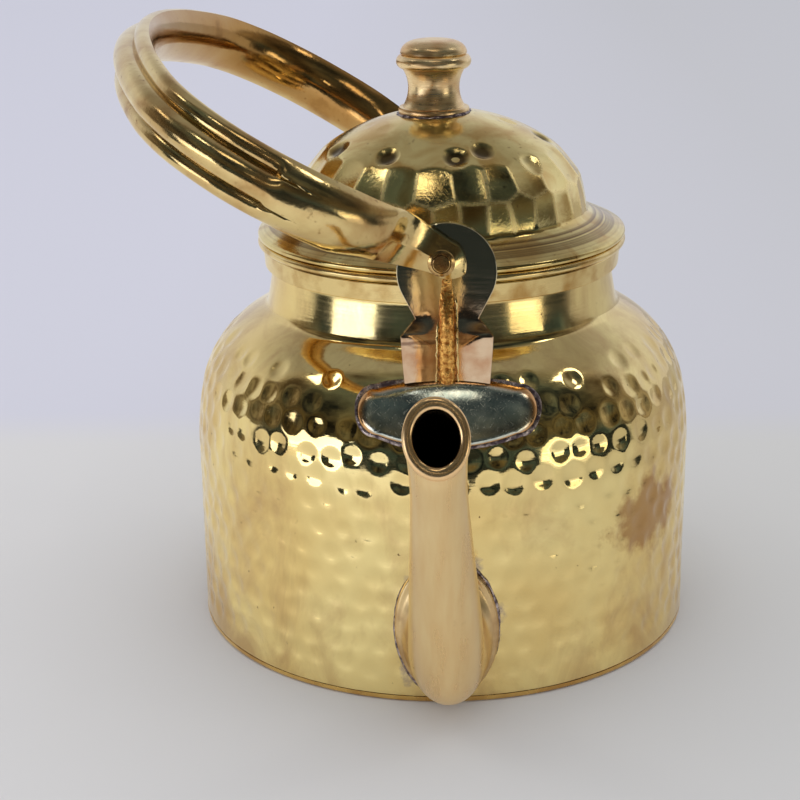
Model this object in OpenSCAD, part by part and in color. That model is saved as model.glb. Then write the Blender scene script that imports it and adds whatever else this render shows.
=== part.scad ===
// Hammered brass tea kettle with a low spout, a lift-off lid and a swinging bail.
// Millimetres, +Z up, origin at the centre of the base. The spout points to -Y, and the
// bail swings about an axis along Y. It is drawn leaning to -X.

/* [Body] */
// Outside radius of the straight wall
body_r = 63; // [56:0.5:70]
// Thickness of the body's sheet
wall_t = 1.2; // [0.8:0.1:1.8]
// Thickness of the disc that closes the bottom
base_t = 1.6; // [1.2:0.1:3]
// Radius on the lower edge of the base disc
base_edge_r = 1.1; // [0.4:0.1:1.2]
// Height at which the wall begins to curve in
shoulder_z = 47.3; // [42:0.1:56]
// Radius of the long curve below the shoulder
shoulder_long_r = 70; // [60:1:80]
// Angle that the long curve turns through
shoulder_long_a = 12; // [9:0.25:15]
// Radius of the round of the shoulder
shoulder_round_r = 26; // [23:0.5:29]
// Slope of the shoulder where it runs straight up to the neck
shoulder_round_a = 58; // [54:0.5:62]
// Outside radius of the neck at its narrowest
neck_r = 43.2; // [41:0.2:45]
// Radius of the hollow between shoulder and neck
neck_hollow_r = 3; // [2:0.25:4]
// Radius of the long hollow up the neck
neck_long_r = 35; // [25:1:45]
// Angle that the long hollow turns through
neck_long_a = 13; // [8:0.5:16]
// Height of the neck from the top of the long hollow to the mouth
neck_h = 6; // [5:0.25:9]
// Amount by which the neck widens towards the mouth
neck_flare = 0.4; // [0:0.1:1]

/* [Mouth ring] */
// Height of the band round the mouth
ring_h = 4.6; // [3:0.2:7]
// Thickness of the band
ring_t = 1.1; // [0.6:0.1:1.6]

/* [Lid] */
// Outside radius of the lid's flange
lid_r = 46; // [45.2:0.1:47.4]
// Thickness of the lid's sheet
lid_t = 1.1; // [0.8:0.1:1.5]
// Gap between the mouth and the underside of the lid
lid_gap = 0.3; // [0.2:0.05:0.6]
// Radius of the rolled edge of the flange and of the bead below it
lid_bead_r = 1; // [0.8:0.05:1.3]
// Slope of the flange's top
flange_a = 24.5; // [20:0.5:30]
// Radius of the dome where it rises from the flange
dome_r = 36.4; // [33:0.2:38]
// Radius of the hollow between flange and dome
dome_hollow_r = 1.6; // [1:0.1:3.5]
// Radius of the curve up the side of the dome
dome_side_r = 18; // [14:0.5:20]
// Angle that the side curve turns through before the crown
dome_side_a = 55; // [50:1:62]
// Radial clearance of the lid's skirt in the neck
skirt_clear = 0.5; // [0.3:0.1:1]
// Depth of the skirt below the mouth
skirt_h = 6; // [4:0.5:9]
// Thickness of the skirt
skirt_t = 1; // [0.7:0.1:1.4]

/* [Knob] */
// Radius of the knob's foot
knob_foot_r = 8.75; // [7.5:0.25:10]
// Height of the knob's foot
knob_foot_h = 1.8; // [1.5:0.1:3]
// Radius of the knob's waist
knob_waist_r = 6.3; // [5:0.1:7]
// Radius at the two ends of the waist, where it meets the foot and the bead
knob_neck_r = 7.7; // [7.2:0.1:7.9]
// Radius of the knob's bead
knob_bead_r = 9.2; // [8.4:0.1:11]
// Height of the bead
knob_bead_h = 3.4; // [2.6:0.1:4]
// Radius of the cap on top of the bead
knob_cap_r = 8.2; // [7:0.1:9]
// Height of the cap
knob_cap_h = 3.6; // [2.5:0.1:5]
// Height of the whole knob above the crown of the lid
knob_h = 17; // [15:0.2:21]
// Distance by which the knob stands off the lid's axis, towards -X
knob_off = 1.6; // [0:0.1:2]
// Radius of the tenon that holds the knob
tenon_r = 2.5; // [1.5:0.1:3.5]
// Radius of the tenon's peened end inside the lid
peen_r = 4.2; // [3:0.1:6]

/* [Spout] */
// Distance of the mouth's centre in front of the body's wall
spout_reach = 47; // [42:0.5:54]
// Height of the mouth's centre
spout_top_z = 83.3; // [76:0.5:90]
// Height of the centre of the spout's root
spout_root_z = 19.5; // [18:0.5:24]
// Half the width of the root on the wall
root_hw = 12.2; // [10:0.2:14]
// Half the height of the root on the wall
root_hh = 17.6; // [14:0.2:18]
// Half the width of the tube at its elbow
elbow_hw = 8.8; // [7.5:0.1:10]
// Half the width of the tube below its lip
throat_hw = 5.95; // [5:0.05:7]
// Half the width of the lip
lip_hw = 6.9; // [6.2:0.1:8]
// Half the height of the slanting lip
lip_hh = 8.4; // [7.6:0.1:9.5]
// Angle of the lip's face above level
lip_a = 20; // [10:1:30]
// Width of the lip's rounded edge, from its outside to the bore
lip_t = 2.3; // [1.6:0.1:2.8]
// Amount by which that edge stands out
lip_roll = 0.9; // [0.3:0.05:1.2]
// Thickness of the tube
spout_t = 1.3; // [0.8:0.1:1.7]
// Distance of the root from the kettle's middle, towards +X
spout_off = 0.8; // [-2:0.1:2]
// Shift of the mouth from the root to -X, from the lean of the tube
spout_lean = 2; // [0:0.1:3]
// Radius of the port through the body's wall
port_r = 8; // [5:0.5:10]

/* [Ears] */
// Radius of the round head of each ear
ear_r = 11.3; // [10:0.1:13]
// Thickness of an ear
ear_t = 2; // [1.5:0.1:2.6]
// Gap between the lid's flange and the back of an ear
ear_gap = 4.4; // [3.5:0.1:6]
// Distance of the ear's middle from the pin, towards +X
ear_off = 1.2; // [0:0.1:1.6]
// Height of the head's centre above the mouth
ear_head_h = 5.1; // [4:0.1:7]
// Width of the waist
waist_w = 14.3; // [12:0.1:17]
// Drop from the head's centre to the waist
waist_drop = 10.8; // [10:0.1:12]
// Width of the tab below the waist
tab_w = 21; // [18:0.2:24]
// Drop from the waist to the tab
tab_drop = 4; // [3:0.1:5]
// Forward step from the head to the tab
tab_step = 1; // [0.4:0.1:1.6]
// Amount by which the tab narrows towards the foot, on each side
tab_taper = 0.8; // [0:0.1:1.5]
// Half the width of the foot
foot_hw = 20.7; // [17:0.1:23]
// Half the height of the foot, seen from the front
foot_hh = 6.8; // [5.5:0.1:8]
// Radius of the foot's round ends
foot_end_r = 4.6; // [3.5:0.1:5]
// Height of the foot's middle below the mouth
foot_drop = 26.6; // [24:0.1:29]
// Thickness of the foot
foot_t = 1.6; // [1:0.1:2.2]
// Width of the rib down the front of an ear
rib_w = 5.6; // [4:0.1:7]
// Height of the rib above the tab
rib_t = 1.4; // [0.8:0.1:2]

/* [Bail] */
// Height of the pin above the mouth
pin_h = 8.4; // [7:0.1:10]
// Radius of the rivet's shank
pin_r = 2.2; // [1.6:0.1:2.6]
// Radial clearance of the bail on the shank
pin_clear = 0.06; // [0.03:0.01:0.1]
// Radius of the rivet's head
pin_head_r = 3.05; // [2.8:0.05:3.6]
// Height of the rivet's head
pin_head_h = 1.2; // [0.8:0.1:1.6]
// Gap on each side of the bail's tongue
tongue_gap = 0.3; // [0.2:0.05:0.5]
// Lean of the bail from upright
bail_lean = 60.5; // [0:0.5:100]
// Height of the middle of the bar at the top, above the pin
bail_top = 83.8; // [78:0.2:92]
// Radius of the crown
crown_r = 119; // [105:1:140]
// Half the angle of the crown
crown_a = 26; // [24:0.5:28]
// Radius of the two upper corners
corner_r = 33.5; // [30:0.5:36]
// Radius of the legs
leg_r = 43; // [40:0.5:47]
// Half the width of the bar
bar_hw = 7.6; // [6.8:0.1:8.2]
// Height of the middle bead above the bar's own line
bar_out = 5.1; // [4.8:0.1:5.6]
// Depth of the rounded inner face below that line
bar_in = 4.2; // [3.4:0.1:5]
// Radius of the middle bead
mid_bead_r = 3.6; // [3.2:0.1:4]
// Radius of the two side beads
side_bead_r = 2.5; // [2.2:0.1:2.8]
// Height above the pin at which the grooves end
groove_end_h = 32; // [28:0.5:36]
// Length over which the grooves run out
groove_run = 12; // [6:0.5:16]
// Height above the pin at which the legs begin to narrow
taper_h = 26; // [22:0.5:30]
// Half the width of the bar at its filed shoulder
shoulder_hw = 5.9; // [5.4:0.1:6.4]
// Height of the filed shoulder above the pin
shoulder_h = 15; // [13.5:0.25:17]
// Length of the filed shoulder, down to the top of the tongue
shoulder_drop = 6; // [5:0.25:7]
// Half the width of the tongue at the pin
tongue_hw = 4.7; // [4.4:0.1:5.4]
// Length of the tongue beyond the pin
tongue_tip = 6.2; // [5.4:0.1:6.4]
// Thickness of the tongue along its ridge
tongue_t = 3.8; // [3:0.1:4.4]
// Thickness of the tongue along its edges
tongue_edge_t = 2; // [1.4:0.1:2.6]
// Width of the tongue's lower half at the pin, as a share of its upper half
tongue_low = 0.76; // [0.7:0.02:1]
// Height by which the tongue's upper half rises above its ridge, where it leaves the bar
ramp_t = 5.5; // [3:0.25:7]
// Height above the pin at which that rise begins
ramp_h = 3.2; // [3:0.1:5]

/* [Hidden] */
$fn = 96;
// Length of a cut that passes through every piece
far = 200;
brass = "#c9a544";
deep_brass = "#b98f4e";
pale_brass = "#cdb46a";

function dir(a) = [cos(a), sin(a)];
function arc(c, r, a0, a1, n) = [for (i = [0 : n]) c + r * dir(a0 + (a1 - a0) * i / n)];
function turned(list) = [for (i = [len(list) - 1 : -1 : 0]) list[i]];

// Centres and heights of the body's profile
long_c = [body_r - shoulder_long_r, shoulder_z];
round_c = long_c + (shoulder_long_r - shoulder_round_r) * dir(shoulder_long_a);
slope_p = round_c + shoulder_round_r * dir(shoulder_round_a);
hollow_run = neck_long_r * (1 - cos(neck_long_a))
  + neck_hollow_r * (cos(neck_long_a) - cos(shoulder_round_a));
hollow_drop = (neck_long_r - neck_hollow_r) * sin(neck_long_a) + neck_hollow_r * sin(shoulder_round_a);
slope_rise = (slope_p[0] - neck_r - hollow_run) / tan(shoulder_round_a);
neck_z = slope_p[1] + slope_rise + hollow_drop;
neck_c = [neck_r + neck_long_r, neck_z];
hollow_c = neck_c - (neck_long_r - neck_hollow_r) * dir(neck_long_a);
mouth_z = neck_z + neck_h;
mouth_r = neck_r + neck_flare;

// Outline of the pot from its foot to its mouth, set in by the given depth
function pot_edge(in) = concat(
  [[body_r - in, base_t]],
  arc(long_c, shoulder_long_r - in, 0, shoulder_long_a, 6),
  arc(round_c, shoulder_round_r - in, shoulder_long_a, shoulder_round_a, 10),
  arc(hollow_c, neck_hollow_r + in, 180 + shoulder_round_a, 180 + neck_long_a, 6),
  arc(neck_c, neck_long_r + in, 180 + neck_long_a, 180, 6),
  [[mouth_r - in, mouth_z]]
);

// Radius of the neck's outside at a height between the hollow and the mouth
function neck_at(z) = neck_r + neck_flare * (z - neck_z) / neck_h;

// Heights and centres of the lid's profile
rim_z = mouth_z + lid_gap;
flange_z = rim_z + 2 * lid_bead_r;
edge_c = [lid_r - lid_bead_r, flange_z + lid_bead_r];
edge_p = edge_c + lid_bead_r * dir(90 - flange_a);
foot_r0 = dome_r + dome_hollow_r * (1 - sin(flange_a));
foot_p = [foot_r0, edge_p[1] + (edge_p[0] - foot_r0) * tan(flange_a)];
dome_hollow_c = foot_p + dome_hollow_r * dir(90 - flange_a);
dome_c = [dome_r - dome_side_r, dome_hollow_c[1]];
crown_rad = dome_side_r + dome_c[0] / cos(dome_side_a);
crown_c = [0, dome_c[1] + (dome_side_r - crown_rad) * sin(dome_side_a)];
lid_top = crown_c[1] + crown_rad;

// Outline of the lid from the edge of its flange to its crown, set in by the given depth
function lid_edge(in) = concat(
  in > 0 ?
    [edge_c + (lid_bead_r - in) * dir(90 - flange_a)] :
    arc(edge_c, lid_bead_r, -90, 90 - flange_a, 8),
  arc(dome_hollow_c, dome_hollow_r + in, 270 - flange_a, 180, 5),
  arc(dome_c, dome_side_r - in, 0, dome_side_a, 10),
  arc(crown_c, crown_rad - in, dome_side_a, 90, 10)
);

// Places of the ears and their pins, as distances from the axis
ear_back = lid_r + ear_gap;
ear_front = ear_back + ear_t;
tab_front = ear_front + tab_step;
ear_z = mouth_z + ear_head_h;
pin_z = mouth_z + pin_h;
tongue_y = ear_front + tongue_gap;
tongue_face = tongue_y + tongue_t;

// Centres of the bail's arcs, with x along the kettle's Y and y up the bail from the pin
function up(a) = [sin(a), cos(a)];
crown_mid = [0, bail_top - crown_r];
corner_mid = crown_mid + (crown_r - corner_r) * up(crown_a);
leg_mid = [corner_mid[0] + corner_r - leg_r, corner_mid[1]];
shoulder_turn = acos((shoulder_h - leg_mid[1]) / leg_r);

// Middle of the bar where its outer face looks the given angle away from upright
function bar_mid(a) =
  abs(a) <= crown_a ? crown_mid + crown_r * up(a) :
  abs(a) <= 90 ? [sign(a) * corner_mid[0], corner_mid[1]] + corner_r * up(a) :
  [sign(a) * leg_mid[0], leg_mid[1]] + leg_r * up(a);

// Angles at which the bar has a section, from the top to the filed shoulder
bar_angles = concat(
  [for (i = [0 : 6]) crown_a * i / 6],
  [for (i = [1 : 9]) crown_a + (90 - crown_a) * i / 9],
  [for (i = [1 : 10]) 90 + (shoulder_turn - 90) * i / 10]
);

// Smooth step from 0 to 1
function ease(t) = let (c = min(max(t, 0), 1)) c * c * (3 - 2 * c);

// Where the middle bead meets a side bead, with the first value across the bar
side_w = bar_hw - side_bead_r;
mid_n = bar_out - mid_bead_r;
bead_d = norm([side_w, mid_n]);
bead_along = (bead_d * bead_d + mid_bead_r * mid_bead_r - side_bead_r * side_bead_r) / (2 * bead_d);
bead_aside = sqrt(mid_bead_r * mid_bead_r - bead_along * bead_along);
groove_w = (side_w * bead_along + mid_n * bead_aside) / bead_d;
groove_n = mid_n + (side_w * bead_aside - mid_n * bead_along) / bead_d;
side_a = atan2(groove_n, groove_w - side_w);
mid_a = atan2(groove_n - mid_n, groove_w);
bead_half = concat(
  [for (i = [0 : 5]) [side_w, 0] + side_bead_r * dir(side_a * i / 6)],
  [for (i = [0 : 5]) [0, mid_n] + mid_bead_r * dir(mid_a + (90 - mid_a) * i / 5)]
);
bead_outer = concat(bead_half, [for (i = [len(bead_half) - 2 : -1 : 0]) [-bead_half[i][0], bead_half[i][1]]]);

// Arc of the given height over half the bar's width
function lens(w, rise) =
  let (r = (rise * rise + bar_hw * bar_hw) / (2 * rise)) sqrt(max(r * r - w * w, 0)) - r + rise;
inner_steps = 10;

// Outline of the bar, across and outwards: beaded where share is 1 and smooth where it is 0
function bar_outline(share) = concat(
  [for (p = bead_outer) [p[0], share * p[1] + (1 - share) * lens(p[0], bar_out)]],
  [
    for (i = [1 : inner_steps - 1])
      let (w = -bar_hw * cos(180 * i / inner_steps)) [w, -lens(w, bar_in)]
  ]
);

// Section of the bar at an angle: beads run out towards the ends, and the ends taper
function bar_ring(a) =
  let (
    mid = bar_mid(a),
    out = up(a),
    low = abs(a) > 90,
    share = low ? ease((mid[1] - groove_end_h) / groove_run) : 1,
    slim = low ? ease((taper_h - mid[1]) / (taper_h - shoulder_h)) : 0,
    wide = 1 + slim * (shoulder_hw / bar_hw - 1)
  )
    [for (p = bar_outline(share)) [mid[0] + p[1] * out[0], mid[1] + p[1] * out[1], p[0] * wide]];

// Heights and half widths of the tongue's sections, down to its round tip
tongue_top = shoulder_h - shoulder_drop;
tip_h = tongue_hw - tongue_tip;
tongue_steps = concat(
  [for (i = [0 : 4]) [tongue_top * (1 - i / 4), tongue_hw + (shoulder_hw - tongue_hw) * (1 - i / 4)]],
  [for (t = [0 : 12 : 84]) [tip_h - tongue_hw * sin(t), tongue_hw * cos(t)]]
);

// Section of the tongue on the side that is given: flat inside, with a ridge outside, from which
// the upper half rises to the bar while the lower half is filed flat
function tongue_ring(step, side) = [
  for (p = bar_outline(0))
    let (
      w = p[0] / bar_hw,
      rise = w > 0 ? ramp_t * ease((step[0] - ramp_h) / (tongue_top - ramp_h)) * (1 - w * w) : 0,
      n = p[1] > 0 ? tongue_edge_t + (tongue_t - tongue_edge_t) * (1 - abs(w)) + rise : 0,
      share = w < 0 ? tongue_low + (1 - tongue_low) * ease(step[0] / tongue_top) : 1
    )
      [side * (tongue_y + n), step[0], share * w * step[1]]
];
bail_rings = concat(
  [for (s = turned(tongue_steps)) tongue_ring(s, -1)],
  [for (i = [len(bar_angles) - 1 : -1 : 1]) bar_ring(-bar_angles[i])],
  [for (a = bar_angles) bar_ring(a)],
  [for (s = tongue_steps) tongue_ring(s, 1)]
);

// Sections of the spout from the wall to the lip: distance in front of the wall, height of
// the centre, angle of the section's face above level, half width, half height and thickness
spout_sections = [
  [-8, spout_root_z, 0, root_hw, root_hh, spout_t],
  [0, spout_root_z, 0, root_hw, root_hh, spout_t],
  [1.6, spout_root_z - 0.6, 3, root_hw - 1.5, root_hh - 1.6, spout_t],
  [5, spout_root_z - 1.5, 9, elbow_hw + 0.6, root_hh - 4.2, spout_t],
  [12.4, spout_root_z + 0.4, 26, elbow_hw, root_hh - 5.6, spout_t],
  [19.6, spout_root_z + 8.2, 38, elbow_hw - 0.4, root_hh - 7.9, spout_t],
  [27, spout_root_z + 23, 57, elbow_hw - 1.3, elbow_hw - 1.1, spout_t],
  [spout_reach - 12, spout_top_z - 25.3, 62, throat_hw + 0.55, throat_hw + 0.65, spout_t],
  [spout_reach - 6.4, spout_top_z - 14.3, 60, throat_hw, throat_hw + 0.1, spout_t],
  [spout_reach - 3, spout_top_z - 7, 48, throat_hw + 0.1, throat_hw + 0.6, spout_t],
  [spout_reach - 0.9, spout_top_z - 1.9, 29, lip_hw - 0.5, lip_hh - 0.9, (spout_t + lip_t) / 2],
  [spout_reach, spout_top_z, lip_a, lip_hw, lip_hh, lip_t]
];
spout_sides = 32;
spout_steps = 2;
lip_steps = 6;

// Smooth curve through four neighbouring values
function blend(a, b, c, d, t) =
  0.5 * (2 * b + (c - a) * t + (2 * a - 5 * b + 4 * c - d) * t * t + (3 * b - a - 3 * c + d) * t * t * t);
function section_at(i, t) = blend(
  spout_sections[max(i - 1, 0)],
  spout_sections[i],
  spout_sections[i + 1],
  spout_sections[min(i + 2, len(spout_sections) - 1)],
  t
);
spout_line = [
  for (i = [0 : len(spout_sections) - 2])
    for (k = [0 : spout_steps - (i == len(spout_sections) - 2 ? 0 : 1)])
      section_at(i, k / spout_steps)
];

// Ring of points round one section, on its outside where share is 0 and in its bore where it is 1
function ring(s, share) = [
  for (k = [0 : spout_sides - 1])
    let (
      a = 360 * k / spout_sides,
      size = 1 - share * s[5] / s[3],
      h = size * s[4] * sin(a),
      z = s[1] + h * cos(s[2]),
      lean = spout_lean * (z - spout_root_z) / (spout_top_z - spout_root_z)
    )
      [size * s[3] * cos(a) + spout_off - lean, h * sin(s[2]) - body_r - s[0], z]
];

// Rings of the lip's half-round edge, from its outside to the bore
lip_section = spout_line[len(spout_line) - 1];
lip_rings = [
  for (i = [1 : lip_steps - 1])
    let (
      a = 180 * i / lip_steps,
      out = lip_roll * sin(a) * dir(lip_a)
    )
      ring(lip_section + concat(out, [0, 0, 0, 0]), (1 - cos(a)) / 2)
];
spout_rings = concat(
  [for (s = spout_line) ring(s, 0)],
  lip_rings,
  [for (s = turned(spout_line)) ring(s, 1)]
);

// Filled pot, to which other pieces are trimmed
module pot_solid() {
  rotate_extrude()
    polygon(concat([[0, 0], [body_r, 0]], pot_edge(0), [[0, mouth_z]]));
}

// Wall, shoulder and neck, raised from one sheet, with the port behind the spout
module body_shell() {
  color(brass)
    difference() {
      rotate_extrude()
        polygon(concat(pot_edge(0), turned(pot_edge(wall_t))));
      translate([spout_off, -body_r / 2, spout_root_z])
        rotate([90, 0, 0])
          cylinder(r = port_r, h = body_r);
    }
}

// Flat disc soldered under the wall
module base_disc() {
  color(deep_brass)
    rotate_extrude()
      polygon(concat(
        [[0, 0]],
        arc([body_r - base_edge_r, base_edge_r], base_edge_r, -90, 0, 6),
        [[body_r, base_t], [0, base_t]]
      ));
}

// Plain band soldered round the mouth
module mouth_ring() {
  low_z = mouth_z - ring_h;
  color(pale_brass)
    rotate_extrude()
      polygon([
        [neck_at(low_z), low_z],
        [neck_at(low_z) + ring_t, low_z],
        [mouth_r + ring_t, mouth_z],
        [mouth_r, mouth_z]
      ]);
}

// Bent and tapered tube, flared on the wall and at its slanting lip
module spout() {
  count = len(spout_rings);
  points = [for (r = spout_rings, p = r) p];
  faces = [
    for (i = [0 : count - 1], k = [0 : spout_sides - 1])
      let (
        a = i * spout_sides + k,
        b = i * spout_sides + (k + 1) % spout_sides,
        c = ((i + 1) % count) * spout_sides + (k + 1) % spout_sides,
        d = ((i + 1) % count) * spout_sides + k
      )
        each [[a, c, b], [a, d, c]]
  ];
  color(brass)
    difference() {
      polyhedron(points, faces);
      cylinder(r = body_r, h = mouth_z);
    }
}

// Oval of four arcs, with round ends
module oval(half_w, half_h, end_r) {
  end_x = half_w - end_r;
  big_y = (end_x * end_x + end_r * end_r - half_h * half_h) / (2 * (half_h - end_r));
  big_r = half_h + big_y;
  join = end_x * big_r / (big_r - end_r);
  intersection() {
    translate([0, -big_y])
      circle(big_r);
    translate([0, big_y])
      circle(big_r);
    square([2 * join, 4 * half_h], center = true);
  }
  for (side = [-1, 1])
    translate([side * end_x, 0])
      circle(end_r);
}

// Front view of an ear without its foot, about the centre of its head
module ear_outline() {
  waist = [waist_w / 2, -waist_drop];
  tangent_a = atan2(-waist_drop, waist_w / 2) + acos(ear_r / norm(waist));
  half = [
    ear_r * dir(tangent_a),
    waist,
    [tab_w / 2, -waist_drop - tab_drop],
    [tab_w / 2 - tab_taper, -ear_head_h - foot_drop]
  ];
  circle(ear_r);
  polygon(concat(half, [for (p = turned(half)) [-p[0], p[1]]]));
}

// Side view of an ear's plate: head, joggle at the waist and tab
module ear_side() {
  top_z = ear_z + ear_r;
  waist_z = ear_z - waist_drop;
  tab_z = waist_z - tab_drop;
  low_z = mouth_z - foot_drop;
  polygon([
    [ear_back, top_z],
    [ear_front, top_z],
    [ear_front, waist_z],
    [tab_front, tab_z],
    [tab_front, low_z],
    [tab_front - ear_t, low_z],
    [tab_front - ear_t, tab_z],
    [ear_back, waist_z]
  ]);
}

// Plate with its rib, foot and pin hole, for the ear on the +Y side
module ear() {
  rib_top = pin_z - tongue_tip - 2 * tongue_gap;
  difference() {
    union() {
      intersection() {
        translate([ear_off - far / 2, 0, 0])
          rotate([90, 0, 90])
            linear_extrude(far)
              ear_side();
        translate([ear_off, far, ear_z])
          rotate([90, 0, 0])
            linear_extrude(far)
              ear_outline();
      }
      translate([ear_off, 0, mouth_z - foot_drop])
        linear_extrude(rib_top - mouth_z + foot_drop)
          polygon([
            [-rib_w / 2, ear_back + ear_t / 2],
            [rib_w / 2, ear_back + ear_t / 2],
            [rib_w / 2 - rib_t, tab_front + rib_t],
            [rib_t - rib_w / 2, tab_front + rib_t]
          ]);
    }
    pot_solid();
    translate([0, 0, pin_z])
      rotate([-90, 0, 0])
        cylinder(r = pin_r, h = far);
  }
  intersection() {
    rotate_extrude()
      polygon(concat(pot_edge(0), turned(pot_edge(-foot_t))));
    translate([ear_off, far, mouth_z - foot_drop])
      rotate([90, 0, 0])
        linear_extrude(far)
          oval(foot_hw, foot_hh, foot_end_r);
  }
}

// Ear above the spout
module front_ear() {
  color(deep_brass)
    mirror([0, 1, 0])
      ear();
}

// Ear on the far side
module back_ear() {
  color(deep_brass)
    ear();
}

// Rivet with a chamfered head outside and a peened end inside, for the +Y side
module rivet() {
  head_y = tongue_face + tongue_gap;
  chamfer = pin_head_h / 2;
  translate([0, 0, pin_z])
    rotate([-90, 0, 0])
      rotate_extrude()
        polygon([
          [0, ear_back - pin_head_h / 2],
          [pin_head_r - chamfer, ear_back - pin_head_h / 2],
          [pin_head_r, ear_back],
          [pin_r, ear_back],
          [pin_r, head_y],
          [pin_head_r, head_y],
          [pin_head_r, head_y + chamfer],
          [pin_head_r - chamfer, head_y + pin_head_h],
          [0, head_y + pin_head_h]
        ]);
}

// Rivet above the spout
module front_rivet() {
  color(pale_brass)
    mirror([0, 1, 0])
      rivet();
}

// Rivet on the far side
module back_rivet() {
  color(pale_brass)
    rivet();
}

// Bail: three beads over the arch that run out into plain tapered legs, and a tongue at each end
module bail_handle() {
  sides = len(bail_rings[0]);
  last = len(bail_rings) - 1;
  first_tip = (last + 1) * sides;
  tips = [for (side = [-1, 1]) [side * (tongue_y + tongue_edge_t / 2), bail_rings[0][0][1], 0]];
  faces = [
    for (k = [0 : sides - 1])
      let (next = (k + 1) % sides)
        each concat(
          [[first_tip, next, k], [first_tip + 1, last * sides + k, last * sides + next]],
          [
            for (i = [0 : last - 1])
              let (
                a = i * sides + k,
                b = i * sides + next
              )
                each [[a, b, b + sides], [a, b + sides, a + sides]]
          ]
        )
  ];
  color(brass)
    translate([0, 0, pin_z])
      rotate([0, -bail_lean, 0])
        rotate([90, 0, 90])
          difference() {
            polyhedron(concat([for (r = bail_rings, p = r) p], tips), faces);
            translate([-far / 2, 0, 0])
              rotate([0, 90, 0])
                cylinder(r = pin_r + pin_clear, h = far);
          }
}

// Flange and dome of the lid, from one sheet, with the hole for the knob's tenon
module lid_shell() {
  color(brass)
    difference() {
      rotate_extrude()
        polygon(concat(
          lid_edge(0),
          turned(lid_edge(lid_t)),
          [[edge_c[0] - 2 * lid_bead_r, flange_z]]
        ));
      translate([-knob_off, 0, dome_c[1]])
        cylinder(r = tenon_r, h = far);
    }
}

// Beaded ring under the flange, with the skirt that centres the lid in the neck
module lid_rim() {
  skirt_r = neck_at(mouth_z - skirt_h) - wall_t - skirt_clear;
  bead_c = [lid_r - lid_bead_r, rim_z + lid_bead_r];
  color(pale_brass)
    rotate_extrude()
      polygon(concat(
        [[skirt_r - skirt_t, mouth_z - skirt_h], [skirt_r, mouth_z - skirt_h], [skirt_r, rim_z]],
        arc(bead_c, lid_bead_r, -90, 90, 10),
        [[skirt_r - skirt_t, flange_z]]
      ));
}

// Turned knob, seated on the crown and held by a tenon that is peened inside
module lid_knob() {
  sag = crown_rad - sqrt(pow(crown_rad, 2) - pow(knob_foot_r + knob_off, 2));
  foot_z = lid_top - sag;
  waist_z = foot_z + knob_foot_h;
  cap_z = lid_top + knob_h - knob_cap_h;
  bead_z = cap_z - knob_bead_h;
  foot_edge = knob_foot_h / 3;
  waist_mid = (waist_z + bead_z) / 2;
  waist_h = (bead_z - waist_z) / 2;
  waist_in = knob_neck_r - knob_waist_r;
  waist_rad = (waist_h * waist_h + waist_in * waist_in) / (2 * waist_in);
  waist_a = asin(waist_h / waist_rad);
  bead_h = knob_bead_h / 2;
  bead_in = knob_bead_r - knob_neck_r;
  bead_rad = (bead_h * bead_h + bead_in * bead_in) / (2 * bead_in);
  bead_a = asin(bead_h / bead_rad);
  cap_rad = (knob_cap_h * knob_cap_h + knob_cap_r * knob_cap_r) / (2 * knob_cap_h);
  cap_a = asin((cap_rad - knob_cap_h) / cap_rad);
  profile = concat(
    [[0, foot_z], [knob_foot_r - foot_edge / 2, foot_z], [knob_foot_r, foot_z + foot_edge]],
    [[knob_foot_r, waist_z - foot_edge], [knob_foot_r - foot_edge, waist_z]],
    arc([knob_waist_r + waist_rad, waist_mid], waist_rad, 180 + waist_a, 180 - waist_a, 10),
    arc([knob_bead_r - bead_rad, bead_z + bead_h], bead_rad, -bead_a, bead_a, 8),
    arc([0, cap_z + knob_cap_h - cap_rad], cap_rad, cap_a, 90, 8)
  );
  color(brass)
    translate([-knob_off, 0, 0])
      difference() {
        union() {
          rotate_extrude()
            polygon(profile);
          translate([0, 0, lid_top - sag - 2 * lid_t])
            cylinder(r = tenon_r, h = sag + 2 * lid_t);
          translate([0, 0, lid_top - sag - 2 * lid_t])
            cylinder(r = peen_r, h = sag + lid_t);
        }
        translate([knob_off, 0, 0])
          lid_shell();
      }
}

body_shell();
base_disc();
mouth_ring();
spout();
front_ear();
back_ear();
front_rivet();
back_rivet();
bail_handle();
lid_shell();
lid_rim();
lid_knob();
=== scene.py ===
import random
from functools import partial
from math import acos, asin, atan2, copysign, cos, degrees, hypot, pi, radians, sin, sqrt, tan

import bpy
from mathutils import Matrix, Vector, kdtree, noise


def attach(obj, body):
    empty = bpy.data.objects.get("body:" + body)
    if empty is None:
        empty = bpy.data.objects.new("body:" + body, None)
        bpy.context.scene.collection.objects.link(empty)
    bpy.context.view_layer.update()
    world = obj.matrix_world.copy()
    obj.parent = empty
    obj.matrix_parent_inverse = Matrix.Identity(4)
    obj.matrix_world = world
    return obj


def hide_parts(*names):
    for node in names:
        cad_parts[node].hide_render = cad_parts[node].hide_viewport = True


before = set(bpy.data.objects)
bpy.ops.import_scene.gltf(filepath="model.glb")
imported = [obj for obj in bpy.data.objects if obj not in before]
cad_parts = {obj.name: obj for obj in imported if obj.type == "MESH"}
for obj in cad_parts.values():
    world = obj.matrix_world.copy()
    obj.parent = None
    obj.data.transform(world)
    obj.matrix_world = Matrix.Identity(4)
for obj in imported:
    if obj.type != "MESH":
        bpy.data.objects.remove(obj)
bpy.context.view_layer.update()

# Camera. It stands less than half a metre in front of the spout and looks down on the lid.
# Its place, turn and lens were fitted to the rings of the base, the mouth and the lid.
mm = 0.001
pitch, yaw, roll = radians(18.571), radians(-1.414), radians(-0.783)
eye, lens_length, picture_width = Vector((0, -443.23, 203.37)) * mm, 81, 36
bpy.ops.object.camera_add()
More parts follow.
